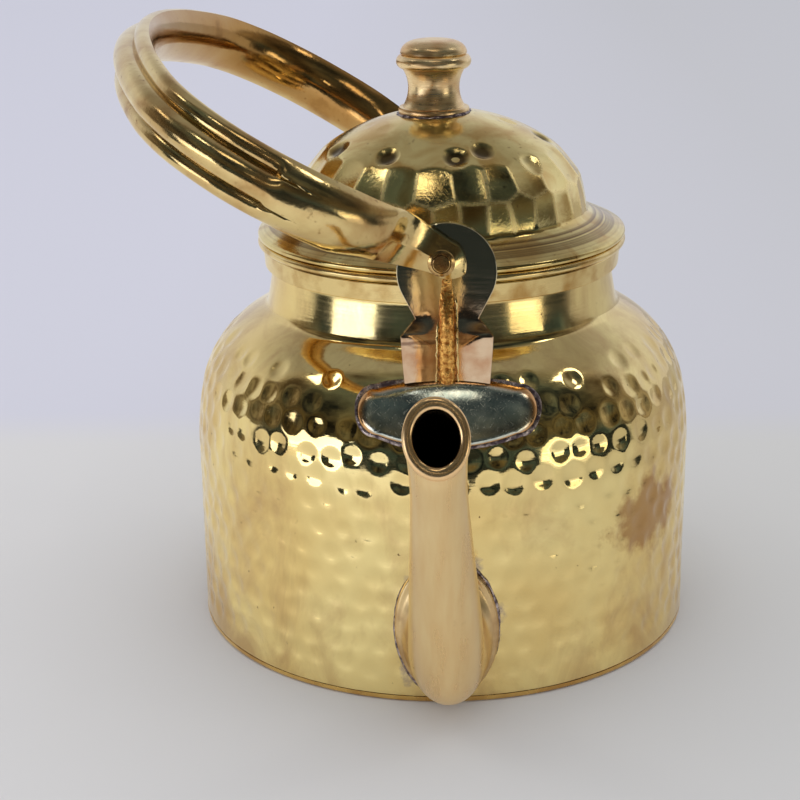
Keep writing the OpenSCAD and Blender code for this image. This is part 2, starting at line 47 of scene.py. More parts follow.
camera = bpy.context.object
camera.name = "camera"
camera.matrix_world = (Matrix.Translation(eye) @ Matrix.Rotation(-yaw, 4, "Z")
                       @ Matrix.Rotation(pi / 2 - pitch, 4, "X") @ Matrix.Rotation(roll, 4, "Z"))
camera.data.lens = lens_length
camera.data.sensor_width = picture_width
bpy.context.scene.camera = camera
bpy.context.scene.view_settings.view_transform = "Standard"

# Studio. A sheet of pale paper lies on the table and rises behind the kettle, in a dim room with a
# window on either side. The paper is drawn as one wide floor whose tone changes where it rises.
paper_left, paper_right, paper_front, paper_rise, paper_blur = -0.50, 0.40, -0.66, 0.125, 0.02
viewer_reach, viewer_half, viewer_edge = 0.30, 0.03, 0.26
window_left_a, window_right_a, glare_left_a, glare_right_a = -58, 55, 16, 12
lamp_aim = Vector((0, 0, 0.07))


def linear(hex_colour):
    """Turns an sRGB hex colour into linear red, green, blue and alpha."""
    parts = [int(hex_colour[i:i + 2], 16) / 255 for i in (1, 3, 5)]
    return tuple(c / 12.92 if c <= 0.04045 else ((c + 0.055) / 1.055) ** 2.4 for c in parts) + (1.0,)


def add_node(tree, kind, *values, **named):
    """Adds a shader node, and fills its sockets with values, hex colours or links from other nodes.

    They go to the sockets in order or by a capitalised name. Names in small letters are the node's
    settings. Every mix is one of colours.
    """
    made = tree.nodes.new("ShaderNode" + kind)
    if kind == "Mix":
        made.data_type = "RGBA"
    for key in filter(str.islower, named):
        setattr(made, key, named[key])
    filled = list(zip([socket for socket in made.inputs if socket.enabled], values))
    filled += [(made.inputs[key], named[key]) for key in named if not key.islower()]
    for socket, value in filled:
        if isinstance(value, bpy.types.Node):
            value = next(output for output in value.outputs if output.enabled)
        if isinstance(value, bpy.types.NodeSocket):
            tree.links.new(value, socket)
        else:
            socket.default_value = linear(value) if isinstance(value, str) else value
    return made


def finish_named(name):
    """Starts an empty material. Returns it with its own add function and the coordinates for its textures."""
    made = bpy.data.materials.new(name)
    made.use_nodes = True
    made.node_tree.nodes.clear()
    add = partial(add_node, made.node_tree)
    return made, add, add("TexCoord").outputs


def outward(turn, tilt):
    """Way out from the upright axis, at an angle round it and an angle up, in radians."""
    return Vector((cos(turn) * cos(tilt), sin(turn) * cos(tilt), sin(tilt)))


# What the polished brass mirrors: cluttered dark tables, brown walls and a ceiling that the windows
# light, and the white paper behind. What the camera sees is the plain paper.
studio = bpy.data.worlds.new("studio")
bpy.context.scene.world = studio
studio.use_nodes = True
studio.node_tree.nodes.clear()
add = partial(add_node, studio.node_tree)
way = add("TexCoord").outputs["Generated"]
at_y, at_z = add("SeparateXYZ", way).outputs[1:]
lean = add("Math", at_z, 0.35, at_y, operation="MULTIPLY_ADD")
behind = add("MapRange", lean, 0.36, 0.50)
clutter = add("TexNoise", way, Scale=3.2, Detail=5.0, Roughness=0.6)
busy = add("MapRange", clutter, 0.38, 0.66)
tables, walls, ceiling, overhead = [add("Mix", busy, *tones) for tones in (
    ("#11171a", "#4a5a5e"), ("#15130f", "#6b6048"), ("#171e21", "#59625f"), ("#5d5140", "#b5ac9c"))]
wall_up = add("MapRange", at_z, 0.06, 0.26)
ceiling_up = add("MapRange", at_z, 0.34, 0.80)
sides = add("Mix", wall_up, tables, walls)
room = add("Mix", ceiling_up, sides, ceiling)
over = add("MapRange", at_y, -0.15, 0.25)
above = add("Mix", over, room, overhead)
paper_top = add("MapRange", at_z, 0.40, 0.72)
back_wall = add("Mix", paper_top, "#dcdde2", "#969492")
mirrored = add("Mix", behind, above, back_wall)
ray = add("LightPath")
lit = add("Mix", ray.outputs["Is Glossy Ray"], "#f2f2f5", mirrored)
seen = add("Mix", ray.outputs["Is Camera Ray"], lit, "#cacbd6")
sky = add("Background", Color=seen, Strength=1.0)
add("OutputWorld", Surface=sky)

# Matt paper, a little bluer where it rises and a little darker on the right, as painted shade. In the brass,
# its front edge is cut into by the dark shape of whoever stands there, and the windows glare on the bare
# table.
bpy.ops.object.select_all(action="DESELECT")
bpy.ops.mesh.primitive_plane_add(size=8)
floor = bpy.context.object
floor.name = "paper_floor"
paper, add, place = finish_named("matt_paper")
at_x, at_y = add("SeparateXYZ", place["Object"]).outputs[:2]
rise = add("MapRange", at_y, paper_rise - 0.012, paper_rise + 0.03, interpolation_type="SMOOTHSTEP")
# painted shade: the paper grows darker towards the right
side = add("MapRange", at_x, -0.12, 0.20)
near = add("Mix", side, "#d9d9da", "#c9cac9")
far = add("Mix", side, "#d3d4e0", "#c9cacf")
tone = add("Mix", rise, near, far)
left = add("MapRange", at_x, paper_left - paper_blur, paper_left)
right = add("MapRange", at_x, paper_right, paper_right + paper_blur, 1.0, 0.0)
rear = add("MapRange", at_y, -0.05, 0.05)
between = add("Math", left, right, operation="MULTIPLY")
wide = add("Math", between, rear, operation="MAXIMUM")
aside = add("Math", at_x, operation="ABSOLUTE")
viewer = add("MapRange", aside, viewer_half, viewer_edge, 1.0, 0.0, interpolation_type="SMOOTHSTEP")
edge = add("Math", viewer, viewer_reach, paper_front, operation="MULTIPLY_ADD")
inside = add("Math", at_y, edge, operation="SUBTRACT")
front = add("MapRange", inside, -paper_blur, 0.0)
whole = add("Math", wide, front, operation="MULTIPLY")
ray = add("LightPath")
beyond = add("Math", 1.0, whole, operation="SUBTRACT")
table = add("Math", beyond, ray.outputs["Is Glossy Ray"], operation="MULTIPLY")
ahead_y = add("Math", at_y, -1.0, operation="MULTIPLY")
turn = add("Math", at_x, ahead_y, operation="ARCTAN2")
glare_left = add("Math", turn, radians(window_left_a), radians(glare_left_a), operation="COMPARE")
glare_right = add("Math", turn, radians(window_right_a), radians(glare_right_a), operation="COMPARE")
glare = add("Math", glare_left, glare_right, operation="ADD")
bare = add("Mix", glare, "#2a2f30", "#fbf8ee")
# For glossy rays the paper shows a painted sheen: painted glare that brightens away from the kettle, and
# painted shade near the kettle and on the right.
far_off = add("MapRange", at_y, -0.10, -0.36)
glance_side = add("MapRange", at_x, -0.10, 0.30)
glance_near = add("Mix", glance_side, "#ebeae4", "#c4c2bc")
glance_far = add("Mix", glance_side, "#ffffff", "#d8d5cc")
painted_glare_and_shade = add("Mix", far_off, glance_near, glance_far)
sheen = add("Mix", ray.outputs["Is Glossy Ray"], tone, painted_glare_and_shade)
shown = add("Mix", table, sheen, bare)
matt = add("BsdfDiffuse", Color=shown)
add("OutputMaterial", Surface=matt)
floor.data.materials.append(paper)

# azimuth from the front and height in degrees, distance, width, height, radiance, colour
lamps = {
    "window_left": (window_left_a, 3, 1.3, 0.70, 0.32, 2.35, "#f4f6ff"),
    "window_right": (window_right_a, 1, 1.3, 0.52, 0.22, 1.5, "#fff4d8"),
    "ceiling_left": (-93, 51, 2.4, 0.34, 0.30, 3.5, "#fffaf0"),
    "ceiling_middle": (-37, 68, 2.4, 0.32, 0.28, 3.5, "#fffaf0"),
    "ceiling_right": (93, 51, 2.4, 0.34, 0.30, 3.5, "#fffaf0"),
    "ceiling_front": (8, 64, 2.4, 0.66, 0.42, 2.1, "#fff2dc"),
    "front_lamp": (5, 28, 2.4, 0.26, 0.14, 2.5, "#fff6e4"),
}
for name, (turn, height, far, wide, tall, radiance, colour) in lamps.items():
    out = outward(radians(turn - 90), radians(height))
    bpy.ops.object.light_add(type="AREA", location=out * far + lamp_aim)
    lamp = bpy.context.object
    lamp.name = name
    lamp.rotation_euler = out.to_track_quat("Z", "Y").to_euler()
    lamp.data.shape = "RECTANGLE"
    lamp.data.size = wide
    lamp.data.size_y = tall
    lamp.data.energy = radiance * pi * wide * tall
    lamp.data.color = linear(colour)[:3]
    lamp.visible_camera = False

# Pot. Wall, shoulder and neck are raised from one brass sheet. The smith dented the wall all over
# with a small ball-faced hammer, burnished the shoulder bright and left the wall satin.
body_r, wall_t, base_t = 63.0, 1.2, 1.6
shoulder_z, shoulder_long_r, shoulder_long_a = 47.3, 70.0, 12.0
shoulder_round_r, shoulder_round_a = 26.0, 58.0
neck_r, neck_hollow_r, neck_long_r, neck_long_a = 43.2, 3.0, 35.0, 13.0
neck_h, neck_flare = 6.0, 0.4
spout_off, spout_root_z, port_r, root_hw, root_hh = 0.8, 19.5, 8.0, 12.2, 17.6
blow_rows, blow_count, blow_low, row_gap, blow_share = 13, 58, 8.5, 5.75, 0.13
blow_facing, ridge_depth = 0.4, 0.26
front_top, front_turn, front_span, front_share = 50, 1.5, 0.16, 0.45
top_misses = (0, 0.12, 0.45)


def arc(mid, radius, start, stop, steps):
    """Points on an arc, from one angle in degrees to another."""
    turns = [radians(start + (stop - start) * i / steps) for i in range(steps + 1)]
    return [(mid[0] + radius * cos(a), mid[1] + radius * sin(a)) for a in turns]


def line(a, b, steps):
    """Points on a straight line, without its ends."""
    return [tuple(p + (q - p) * i / steps for p, q in zip(a, b)) for i in range(1, steps)]


def polar(mid, radius, angle):
    """One point of an arc."""
    return arc(mid, radius, angle, angle, 1)[0]


long_c = (body_r - shoulder_long_r, shoulder_z)
round_c = polar(long_c, shoulder_long_r - shoulder_round_r, shoulder_long_a)
slope_p = polar(round_c, shoulder_round_r, shoulder_round_a)
cos_long, cos_round = cos(radians(neck_long_a)), cos(radians(shoulder_round_a))
hollow_run = neck_long_r * (1 - cos_long) + neck_hollow_r * (cos_long - cos_round)
hollow_drop = ((neck_long_r - neck_hollow_r) * sin(radians(neck_long_a))
               + neck_hollow_r * sin(radians(shoulder_round_a)))
slope_rise = (slope_p[0] - neck_r - hollow_run) / tan(radians(shoulder_round_a))
neck_z = slope_p[1] + slope_rise + hollow_drop
neck_c = (neck_r + neck_long_r, neck_z)
hollow_c = polar(neck_c, neck_long_r - neck_hollow_r, 180 + neck_long_a)
mouth_z, mouth_r = neck_z + neck_h, neck_r + neck_flare
# the outside goes on narrowing up to the ring, where its skin is filed thinner
filed_r, filed_a = 77.0, 6.0
filed_c = polar(polar(hollow_c, neck_hollow_r, 180 + neck_long_a), filed_r, neck_long_a)


def pot_line(inset, rows, neck):
    """Outline of the pot from its foot to its neck, set in by a depth, with that many rows in each part."""
    low = (body_r - inset, base_t + 0.1)
    rounded = arc(round_c, shoulder_round_r - inset, shoulder_long_a, shoulder_round_a, rows[2])
    hollow = arc(hollow_c, neck_hollow_r + inset, 180 + shoulder_round_a, 180 + neck_long_a, rows[4])
    return ([low] + line(low, (body_r - inset, shoulder_z), rows[0])
            + arc(long_c, shoulder_long_r - inset, 0, shoulder_long_a, rows[1])[:-1]
            + rounded + line(rounded[-1], hollow[0], rows[3]) + hollow + neck[1:]
            + [(mouth_r - inset, mouth_z - 0.3)])


def edit(obj):
    """Opens one object alone in edit mode, with all of it selected."""
    bpy.ops.object.select_all(action="DESELECT")
    obj.select_set(True)
    bpy.context.view_layer.objects.active = obj
    bpy.ops.object.mode_set(mode="EDIT")
    bpy.ops.mesh.select_all(action="SELECT")


def close_up(obj, angle):
    """Closes the seams of a shape, turns its faces outwards and smooths it up to an edge angle."""
    edit(obj)
    bpy.ops.mesh.remove_doubles(threshold=0.002 * mm)
    bpy.ops.mesh.normals_make_consistent(inside=False)
    bpy.ops.object.mode_set(mode="OBJECT")
    bpy.ops.object.shade_smooth_by_angle(angle=radians(angle))


def drawn(name, points):
    """Draws a line from point to point in edit mode, all selected, as an object with that name."""
    spots = [Vector(p) * mm for p in points]
    bpy.ops.object.select_all(action="DESELECT")
    bpy.ops.mesh.primitive_plane_add(size=mm)
    obj = bpy.context.object
    obj.name = name
    obj.data.name = name
    bpy.ops.object.mode_set(mode="EDIT")
    bpy.ops.mesh.merge(type="CENTER")
    bpy.ops.transform.translate(value=spots[0])
    for a, b in zip(spots, spots[1:]):
        bpy.ops.mesh.extrude_region_move(TRANSFORM_OT_translate={"value": b - a})
    bpy.ops.mesh.select_all(action="SELECT")
    return obj


def lathe(name, outline, steps, angle, shift=0.0):
    """Turns a closed outline of (radius, height) points round the upright axis."""
    obj = drawn(name, [(r + shift, 0, z) for r, z in outline + outline[:1]])
    bpy.ops.mesh.remove_doubles(threshold=0.002 * mm)
    bpy.ops.mesh.spin(steps=steps, angle=2 * pi, center=Vector((shift, 0, 0)) * mm, axis=(0, 0, 1))
    bpy.ops.object.mode_set(mode="OBJECT")
    close_up(obj, angle)
    return obj


def hammer(obj, blows, tilt):
    """Dents an object's outside, and notes in attributes how deep it is and where dents meet in a ridge.

    Each blow has a place, a way out, a reach and a depth in mm. A tilted hammer goes in deeper below.
    """
    points = obj.data.vertices
    finder = kdtree.KDTree(len(points))
    for v in points:
        finder.insert(v.co, v.index)
    finder.balance()
    dents = {}
    for place, out, reach, depth in blows:
        place, reach = Vector(place) * mm, reach * mm
        for co, index, gap in finder.find_range(place, reach):
            if points[index].normal.dot(out) > blow_facing:
                dent = depth * (1 - (gap / reach) ** 2) * (1 + tilt * (place.z - co.z) / reach)
                best, second = dents.get(index, (0, 0))
                dents[index] = (dent, best) if dent > best else (best, max(second, dent))
    ways = {index: points[index].normal.copy() for index in dents}
    ridge = obj.data.attributes.new("ridge", "FLOAT", "POINT")
    sunk = obj.data.attributes.new("sunk", "FLOAT", "POINT")
    for index, (best, second) in dents.items():
        points[index].co -= ways[index] * best * mm
        sunk.data[index].value = best
        if second > 0:
            ridge.data[index].value = max(0, 1 - (best - second) / ridge_depth)


def blow(r, z, turn, tilt, reach, depth):
    """One blow of the hammer, on a turned shape's outside at a radius, height, angle round and tilt."""
    return (r * cos(turn), r * sin(turn), z), outward(turn, tilt), reach, depth


def uneven(obj, size, depth):
    """Gives a smooth face the shallow waves of hand work, inwards only; size and depth in mm."""
    ways = [v.normal.copy() for v in obj.data.vertices]
    for v, out in zip(obj.data.vertices, ways):
        v.co -= out * depth * mm * (0.5 + 0.5 * noise.noise(v.co / (size * mm)))


def pot_spot(run):
    """Radius, height and tilt of the pot's outside at a distance up along the wall and the shoulder."""
    long_run = radians(shoulder_long_a) * shoulder_long_r
    if run < shoulder_z:
        return body_r, run, 0.0
    if run < shoulder_z + long_run:
        mid, r, tilt = long_c, shoulder_long_r, (run - shoulder_z) / shoulder_long_r
    else:
        mid, r = round_c, shoulder_round_r
        tilt = radians(shoulder_long_a) + (run - shoulder_z - long_run) / r
    return mid[0] + r * cos(tilt), mid[1] + r * sin(tilt), tilt


outside = pot_line(0, (60, 20, 24, 3, 5), arc(filed_c, filed_r, 180 + neck_long_a, 180 + filed_a, 8))
inside = pot_line(wall_t, (3, 2, 4, 1, 3), arc(neck_c, neck_long_r + wall_t, 180 + neck_long_a, 180, 3))
pot = lathe("pot", [(body_r - 0.1, base_t)] + outside
            + [(mouth_r - 0.3, mouth_z), (mouth_r - wall_t + 0.3, mouth_z)]
            + inside[::-1] + [(body_r - wall_t, base_t)], 640, 50)
bpy.ops.object.select_all(action="DESELECT")
bpy.ops.mesh.primitive_cylinder_add(vertices=48, radius=port_r * mm, depth=30 * mm,
                                    location=Vector((spout_off, -body_r, spout_root_z)) * mm,
                                    rotation=(pi / 2, 0, 0))
drill = bpy.context.object
bpy.ops.object.select_all(action="DESELECT")
bpy.context.view_layer.objects.active = pot
port = pot.modifiers.new("port", "BOOLEAN")
port.object = drill
port.solver = "EXACT"
bpy.ops.object.modifier_apply(modifier="port")
bpy.data.objects.remove(drill)

rng = random.Random(11)
blows = []
for row in range(blow_rows):
    for k in range(blow_count):
        r, z, tilt = pot_spot(blow_low + row_gap * row + rng.uniform(-0.9, 0.9))
        turn = 2 * pi * (k + 0.5 * (row % 2) + rng.uniform(-0.2, 0.2)) / blow_count
        reach = rng.uniform(2.4, 3.1)
        deep = blow_share * reach * rng.uniform(0.8, 1.2)
        # the wall's front, counted in half turns, is rubbed shallower, and the top rows have gaps
        if z < front_top:
            deep *= front_share + (1 - front_share) * min(1, abs(turn / pi - front_turn) / front_span)
        if rng.random() >= top_misses[max(0, row - blow_rows + len(top_misses))]:
            blows.append(blow(r, z, turn, tilt, reach, deep))
uneven(pot, 14, 0.10)
hammer(pot, blows, 0.4)


def bare_metal(add, colour, dull, normal):
    """Ends a finish of bare metal."""
    metal = add("BsdfPrincipled", colour, Metallic=1.0, Roughness=dull, Normal=normal)
    add("OutputMaterial", Surface=metal)


# Hammered brass, burnished on the shoulder and brushed on the wall: a warm mirror above, and below it a soft
# sheen, with cloudy brown tarnish and brown painted reflection, one brown blot, dark specks and grey smears by
# the spout.
pot_finish, add, place = finish_named("hammered_brass")
at_x, at_y, at_z = add("SeparateXYZ", place["Object"]).outputs
cloud = add("TexNoise", place["Object"], Scale=1 / 0.030, Detail=5.0)
warm = add("MapRange", cloud, 0.38, 0.64)
clean = add("Mix", warm, "#f8e4a2", "#ecd08c")
streak_map = add("Mapping", place["Object"], Scale=(1.0, 1.0, 0.5))
streak = add("TexNoise", streak_map, Scale=1 / 0.014, Detail=7.0, Roughness=0.65, Distortion=0.6)
# The brown is heavier on the shoulder's top, as a painted reflection of the neck and ears, near the foot, as a
# painted reflection of the brass itself, and towards the left and right sides.
upper = add("MapRange", at_z, 0.068, 0.082, 0, 0.10)
lower = add("MapRange", at_z, 0.004, 0.030, 0.08, 0.0)
sides = add("Math", at_x, operation="ABSOLUTE")
edges = add("MapRange", sides, 0.036, 0.058, 0, 0.15)
zones = add("Math", upper, lower, operation="ADD")
zoned = add("Math", zones, edges, operation="ADD")
patchy = add("Math", streak, zoned, operation="ADD")
streaky = add("MapRange", patchy, 0.53, 0.80, 0, 0.6)
tarnish_and_painted_reflection = add("Mix", streaky, clean, "#b58c62")
blot_long, blot_mid = 0.65, Vector((0.0503, -0.0379, 0.0385))
blot_scale = Vector((blot_long, blot_long, 1.0))
blot_map = add("Mapping", place["Object"], Scale=blot_scale)
blot_gap = add("VectorMath", blot_map, blot_scale * blot_mid, operation="DISTANCE")
ragged = add("TexNoise", place["Object"], Scale=1 / 0.006, Detail=6.0, Roughness=0.62)
blot_edge = add("Math", ragged, 0.018, blot_gap, operation="MULTIPLY_ADD")
blot = add("MapRange", blot_edge, 0.0152, 0.0196, 0.70, 0.0)
blotted = add("Mix", blot, tarnish_and_painted_reflection, "#9c6a42")
root_map = add("Mapping", place["Object"], Scale=(1 / (root_hw * mm), 0, 1 / (root_hh * mm)),
               Location=(-spout_off / root_hw, 0, -spout_root_z / root_hh))
root_gap = add("VectorMath", root_map, operation="LENGTH")
smear_edge = add("Math", ragged, 1.1, root_gap, operation="MULTIPLY_ADD")
smear = add("MapRange", smear_edge, 1.42, 1.56, 0.6, 0.0)
before = add("MapRange", at_y, -0.050, -0.045, 1.0, 0.0)
smeared = add("Math", smear, before, operation="MULTIPLY")
greyed = add("Mix", smeared, blotted, "#968a90")
speck = add("TexNoise", place["Object"], Scale=1 / 0.0016, Detail=2.0)
spotted = add("MapRange", speck, 0.75, 0.80)
coloured = add("Mix", spotted, greyed, "#5b3d20")
brush_map = add("Mapping", place["Object"], Scale=(0.03, 0.03, 1.0))
brush = add("TexNoise", brush_map, Scale=1 / 0.0005, Detail=3.0)
scuff_map = add("Mapping", place["Object"], Rotation=(0.5, 0.35, 0.6), Scale=(0.06, 1.0, 1.0))
scuff = add("TexNoise", scuff_map, Scale=1 / 0.0006, Detail=4.0)
satin = add("MapRange", at_z, 0.044, 0.062, 0.10, 0.06)
neck_dull = add("MapRange", at_z, 0.084, 0.088, 0, 0.07)
grain = add("MapRange", brush, 0.3, 0.7, -0.03, 0.04)
softer = add("Math", satin, neck_dull, operation="ADD")
dull = add("Math", softer, grain, operation="ADD")
duller = add("Math", streaky, 0.12, dull, operation="MULTIPLY_ADD")
dullest = add("Math", smeared, 0.30, duller, operation="MULTIPLY_ADD")
lines = add("Bump", Height=brush, Strength=0.06, Distance=0.0001)
scuffs = add("Bump", Height=scuff, Strength=0.07, Distance=0.0001, Normal=lines)
bare_metal(add, coloured, dullest, scuffs)
pot.data.materials.append(pot_finish)
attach(pot, "kettle")
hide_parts("body_shell")

# Base. A flat disc of thicker brass is soldered under the wall, and its edge is filed round and rubbed
# down with the wall, so that the joint hardly shows.
base_edge_r = 1.1
base = lathe("base", [(0, 0)] + line((0, 0), (body_r - base_edge_r, 0), 8)
             + arc((body_r - base_edge_r, base_edge_r), base_edge_r, -90, 0, 8)
             + [(body_r, base_t - 0.05), (body_r - 0.05, base_t), (0, base_t)], 200, 40)


def plain_metal(name, tones, cloud, spread, grain, rough, bump, stretch=(1.0, 1.0, 1.0), span=(0.3, 0.7)):
    """Makes a metal in two tones, and returns it.

    Clouds of a size and detail mix the tones, and a grain, which may be stretched along one axis, blurs
    the shine and roughens the face. Sizes and the bump's height are in metres.
    """
    made, add, place = finish_named(name)
    patch = add("TexNoise", place["Object"], Scale=1 / cloud[0], Detail=cloud[1])
    share = add("MapRange", patch, *spread)
    drawn_out = add("Mapping", place["Object"], Scale=stretch)
    marks = add("TexNoise", drawn_out, Scale=1 / grain[0], Detail=grain[1])
    bare_metal(add, add("Mix", share, *tones), add("MapRange", marks, *span, *rough),
               add("Bump", Height=marks, Strength=bump[0], Distance=bump[1]))
    return made


# Sheet brass, filed crosswise and rubbed: a dull gold with brown clouds.
base_finish = plain_metal("filed_brass_sheet", ("#dcb870", "#bd9154"), (0.009, 5.0), (0.42, 0.70),
                          (0.0009, 3.0), (0.16, 0.30), (0.12, 0.0001))
base.data.materials.append(base_finish)
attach(base, "kettle")
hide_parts("base_disc")

# Mouth ring. A plain band of sheet brass is bent round the neck and soldered under the mouth's edge,
# which it stiffens.
ring_h, ring_t = 4.6, 1.1
ring_low = mouth_z - ring_h
ring_in = neck_r + neck_flare * (ring_low - neck_z) / neck_h
ring_out = mouth_r + ring_t
ring = lathe("mouth_band", [(polar(filed_c, filed_r, 180 + filed_a)[0], ring_low),
                            (ring_in + ring_t - 0.2, ring_low), (ring_in + ring_t, ring_low + 0.2),
                            (ring_out, mouth_z - 0.3), (ring_out - 0.1, mouth_z - 0.1),
                            (ring_out - 0.3, mouth_z), (mouth_r, mouth_z)], 240, 30)
# Burnished brass: a pale gold, brown in patches, with fine lines that run round the band.
ring_finish = plain_metal("burnished_brass_band", ("#e6cd90", "#c09a5c"), (0.006, 5.0), (0.45, 0.70),
                          (0.0004, 3.0), (0.14, 0.28), (0.12, 0.0001), (0.04, 0.04, 1.0))
ring.data.materials.append(ring_finish)
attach(ring, "kettle")
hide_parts("mouth_ring")

# Spout. A cone of sheet brass is bent to an elbow and narrowed, flared against the wall, and its lip
# is turned back thick. It is rubbed smooth, and only the lip is polished.
spout_reach, spout_top_z = 47.0, 83.3
elbow_hw, throat_hw, lip_hw, lip_hh = 8.8, 5.95, 6.9, 8.4
lip_a, lip_t, lip_roll, spout_t, spout_lean = 20.0, 2.3, 0.9, 1.3, 2.0
# distance in front of the wall, height, tilt, half width, half height and thickness
spout_sections = [
    (-8, spout_root_z, 0, root_hw, root_hh, spout_t),
    (0, spout_root_z, 0, root_hw, root_hh, spout_t),
    (1.6, spout_root_z - 0.6, 3, root_hw - 1.5, root_hh - 1.6, spout_t),
    (5, spout_root_z - 1.5, 9, elbow_hw + 0.6, root_hh - 4.2, spout_t),
    (12.4, spout_root_z + 0.4, 26, elbow_hw, root_hh - 5.6, spout_t),
    (19.6, spout_root_z + 8.2, 38, elbow_hw - 0.4, root_hh - 7.9, spout_t),
    (27, spout_root_z + 23, 57, elbow_hw - 1.3, elbow_hw - 1.1, spout_t),
    (spout_reach - 12, spout_top_z - 25.3, 62, throat_hw + 0.55, throat_hw + 0.65, spout_t),
    (spout_reach - 6.4, spout_top_z - 14.3, 60, throat_hw, throat_hw + 0.1, spout_t),
    (spout_reach - 3, spout_top_z - 7, 48, throat_hw + 0.1, throat_hw + 0.6, spout_t),
    (spout_reach - 0.9, spout_top_z - 1.9, 29, lip_hw - 0.5, lip_hh - 0.9, (spout_t + lip_t) / 2),
    (spout_reach, spout_top_z, lip_a, lip_hw, lip_hh, lip_t),
]


def eased(a, b, c, d, t):
    """Smooth curve through four neighbouring sections."""
    return tuple(0.5 * (2 * q + (r - p) * t + (2 * p - 5 * q + 4 * r - s) * t * t
                        + (3 * q - p - 3 * r + s) * t ** 3) for p, q, r, s in zip(a, b, c, d))


def spout_ring(section, share, sides=72):
    """Ring of points on the outside of a section where share is 0, and in its bore where it is 1."""
    ahead_mm, height, tilt, half_w, half_h, thick = section
    size = 1 - share * thick / half_w
    tilt = radians(tilt)
    points = []
    for k in range(sides):
        a = 2 * pi * k / sides
        h = size * half_h * sin(a)
        z = height + h * cos(tilt)
        lean = spout_lean * (z - spout_root_z) / (spout_top_z - spout_root_z)
        x = size * half_w * cos(a) + spout_off - lean
        wall = -sqrt((body_r - wall_t / 2) ** 2 - x * x)
        points.append((x, min(h * sin(tilt) - body_r - ahead_mm, wall), z))
    return points


def loft(name, rings, angle):
    """Lays a grid of faces over rings of points, closed round each ring. Its UV map runs round and along."""
    sides = len(rings[0])
    bpy.ops.object.select_all(action="DESELECT")
    bpy.ops.mesh.primitive_grid_add(x_subdivisions=sides, y_subdivisions=len(rings) - 1, size=mm)
    obj = bpy.context.object
    obj.name = name
    obj.data.name = name
    for v in obj.data.vertices:
        v.co = Vector(rings[v.index // (sides + 1)][v.index % (sides + 1) % sides]) * mm
    edit(obj)
    bpy.ops.mesh.remove_doubles(threshold=0.002 * mm)
    bpy.ops.mesh.fill_holes(sides=0)
    bpy.ops.object.mode_set(mode="OBJECT")
    close_up(obj, angle)
    return obj


last, section_steps, lip_steps = len(spout_sections) - 1, 6, 12
spout_line = []
for i in range(1, last):
    around = [spout_sections[min(max(j, 0), last)] for j in (i - 1, i, i + 1, i + 2)]
    spout_line += [eased(*around, k / section_steps) for k in range(section_steps)]
spout_line.append(spout_sections[last])
start = (-0.5,) + spout_sections[1][1:]
lip = []
for i in range(1, lip_steps):
    a = pi * i / lip_steps
    moved = polar((spout_reach, spout_top_z), lip_roll * sin(a), lip_a)
    lip.append(spout_ring(moved + spout_sections[last][2:], (1 - cos(a)) / 2))
rings = ([spout_ring(start, 0)] + [spout_ring(s, 0) for s in spout_line] + lip
         + [spout_ring(s, 1) for s in spout_line[::-1]] + [spout_ring(start, 1), spout_ring(start, 0)])
spout = loft("spout_tube", rings, 45)
uneven(spout, 7, 0.10)

# Satin brass, rubbed along the tube: pinkish tan and blurred, with faint streaks that run down it, brown
# where the solder's heat coloured the root, coppery and bright on the lip, and nearly black inside, as painted
# shade in the bore.
lip_from, bore_from = (len(spout_line) - 5) / (len(rings) - 1), (len(spout_line) + 9) / (len(rings) - 1)
spout_finish, add, place = finish_named("rubbed_brass_tube")
at_y = add("SeparateXYZ", place["Object"]).outputs["Y"]
along = add("SeparateXYZ", place["UV"])
streak_map = add("Mapping", place["Object"], Scale=(1.0, 0.3, 0.10))
streak = add("TexNoise", streak_map, Scale=1 / 0.0022, Detail=4.0)
pale = add("MapRange", streak, 0.30, 0.72)
rubbed = add("Mix", pale, "#e3c28d", "#ead09d")
cloud = add("TexNoise", place["Object"], Scale=1 / 0.008, Detail=5.0)
heat = add("MapRange", at_y, -0.078, -0.062, -0.16, 0.16)
heated = add("Math", cloud, heat, operation="ADD")
brown = add("MapRange", heated, 0.56, 0.80, 0, 0.8)
browned = add("Mix", brown, rubbed, "#a8845f")
at_lip = add("MapRange", along.outputs["Y"], lip_from, lip_from + 0.03)
coppery = add("Mix", at_lip, browned, "#f2cc98")
# painted shade: the bore is coloured nearly black
in_bore = add("MapRange", along.outputs["Y"], bore_from, bore_from + 0.05)
coloured = add("Mix", in_bore, coppery, "#241a12")
rub = add("MapRange", streak, 0.3, 0.7, 0.26, 0.34)
polish = add("MapRange", at_lip, 0, 1, 0.0, -0.06)
dull = add("Math", rub, polish, operation="ADD")
scrape_map = add("Mapping", place["Object"], Scale=(1.0, 0.2, 0.05))
scrape = add("TexNoise", scrape_map, Scale=1 / 0.0005, Detail=3.0)
lines = add("Bump", Height=scrape, Strength=0.08, Distance=0.0001)
bare_metal(add, coloured, dull, lines)
spout.data.materials.append(spout_finish)
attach(spout, "kettle")
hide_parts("spout")

# Spout's solder. A seam of grey solder was run round the root, and it lies uneven in the corner
# between the tube and the wall.


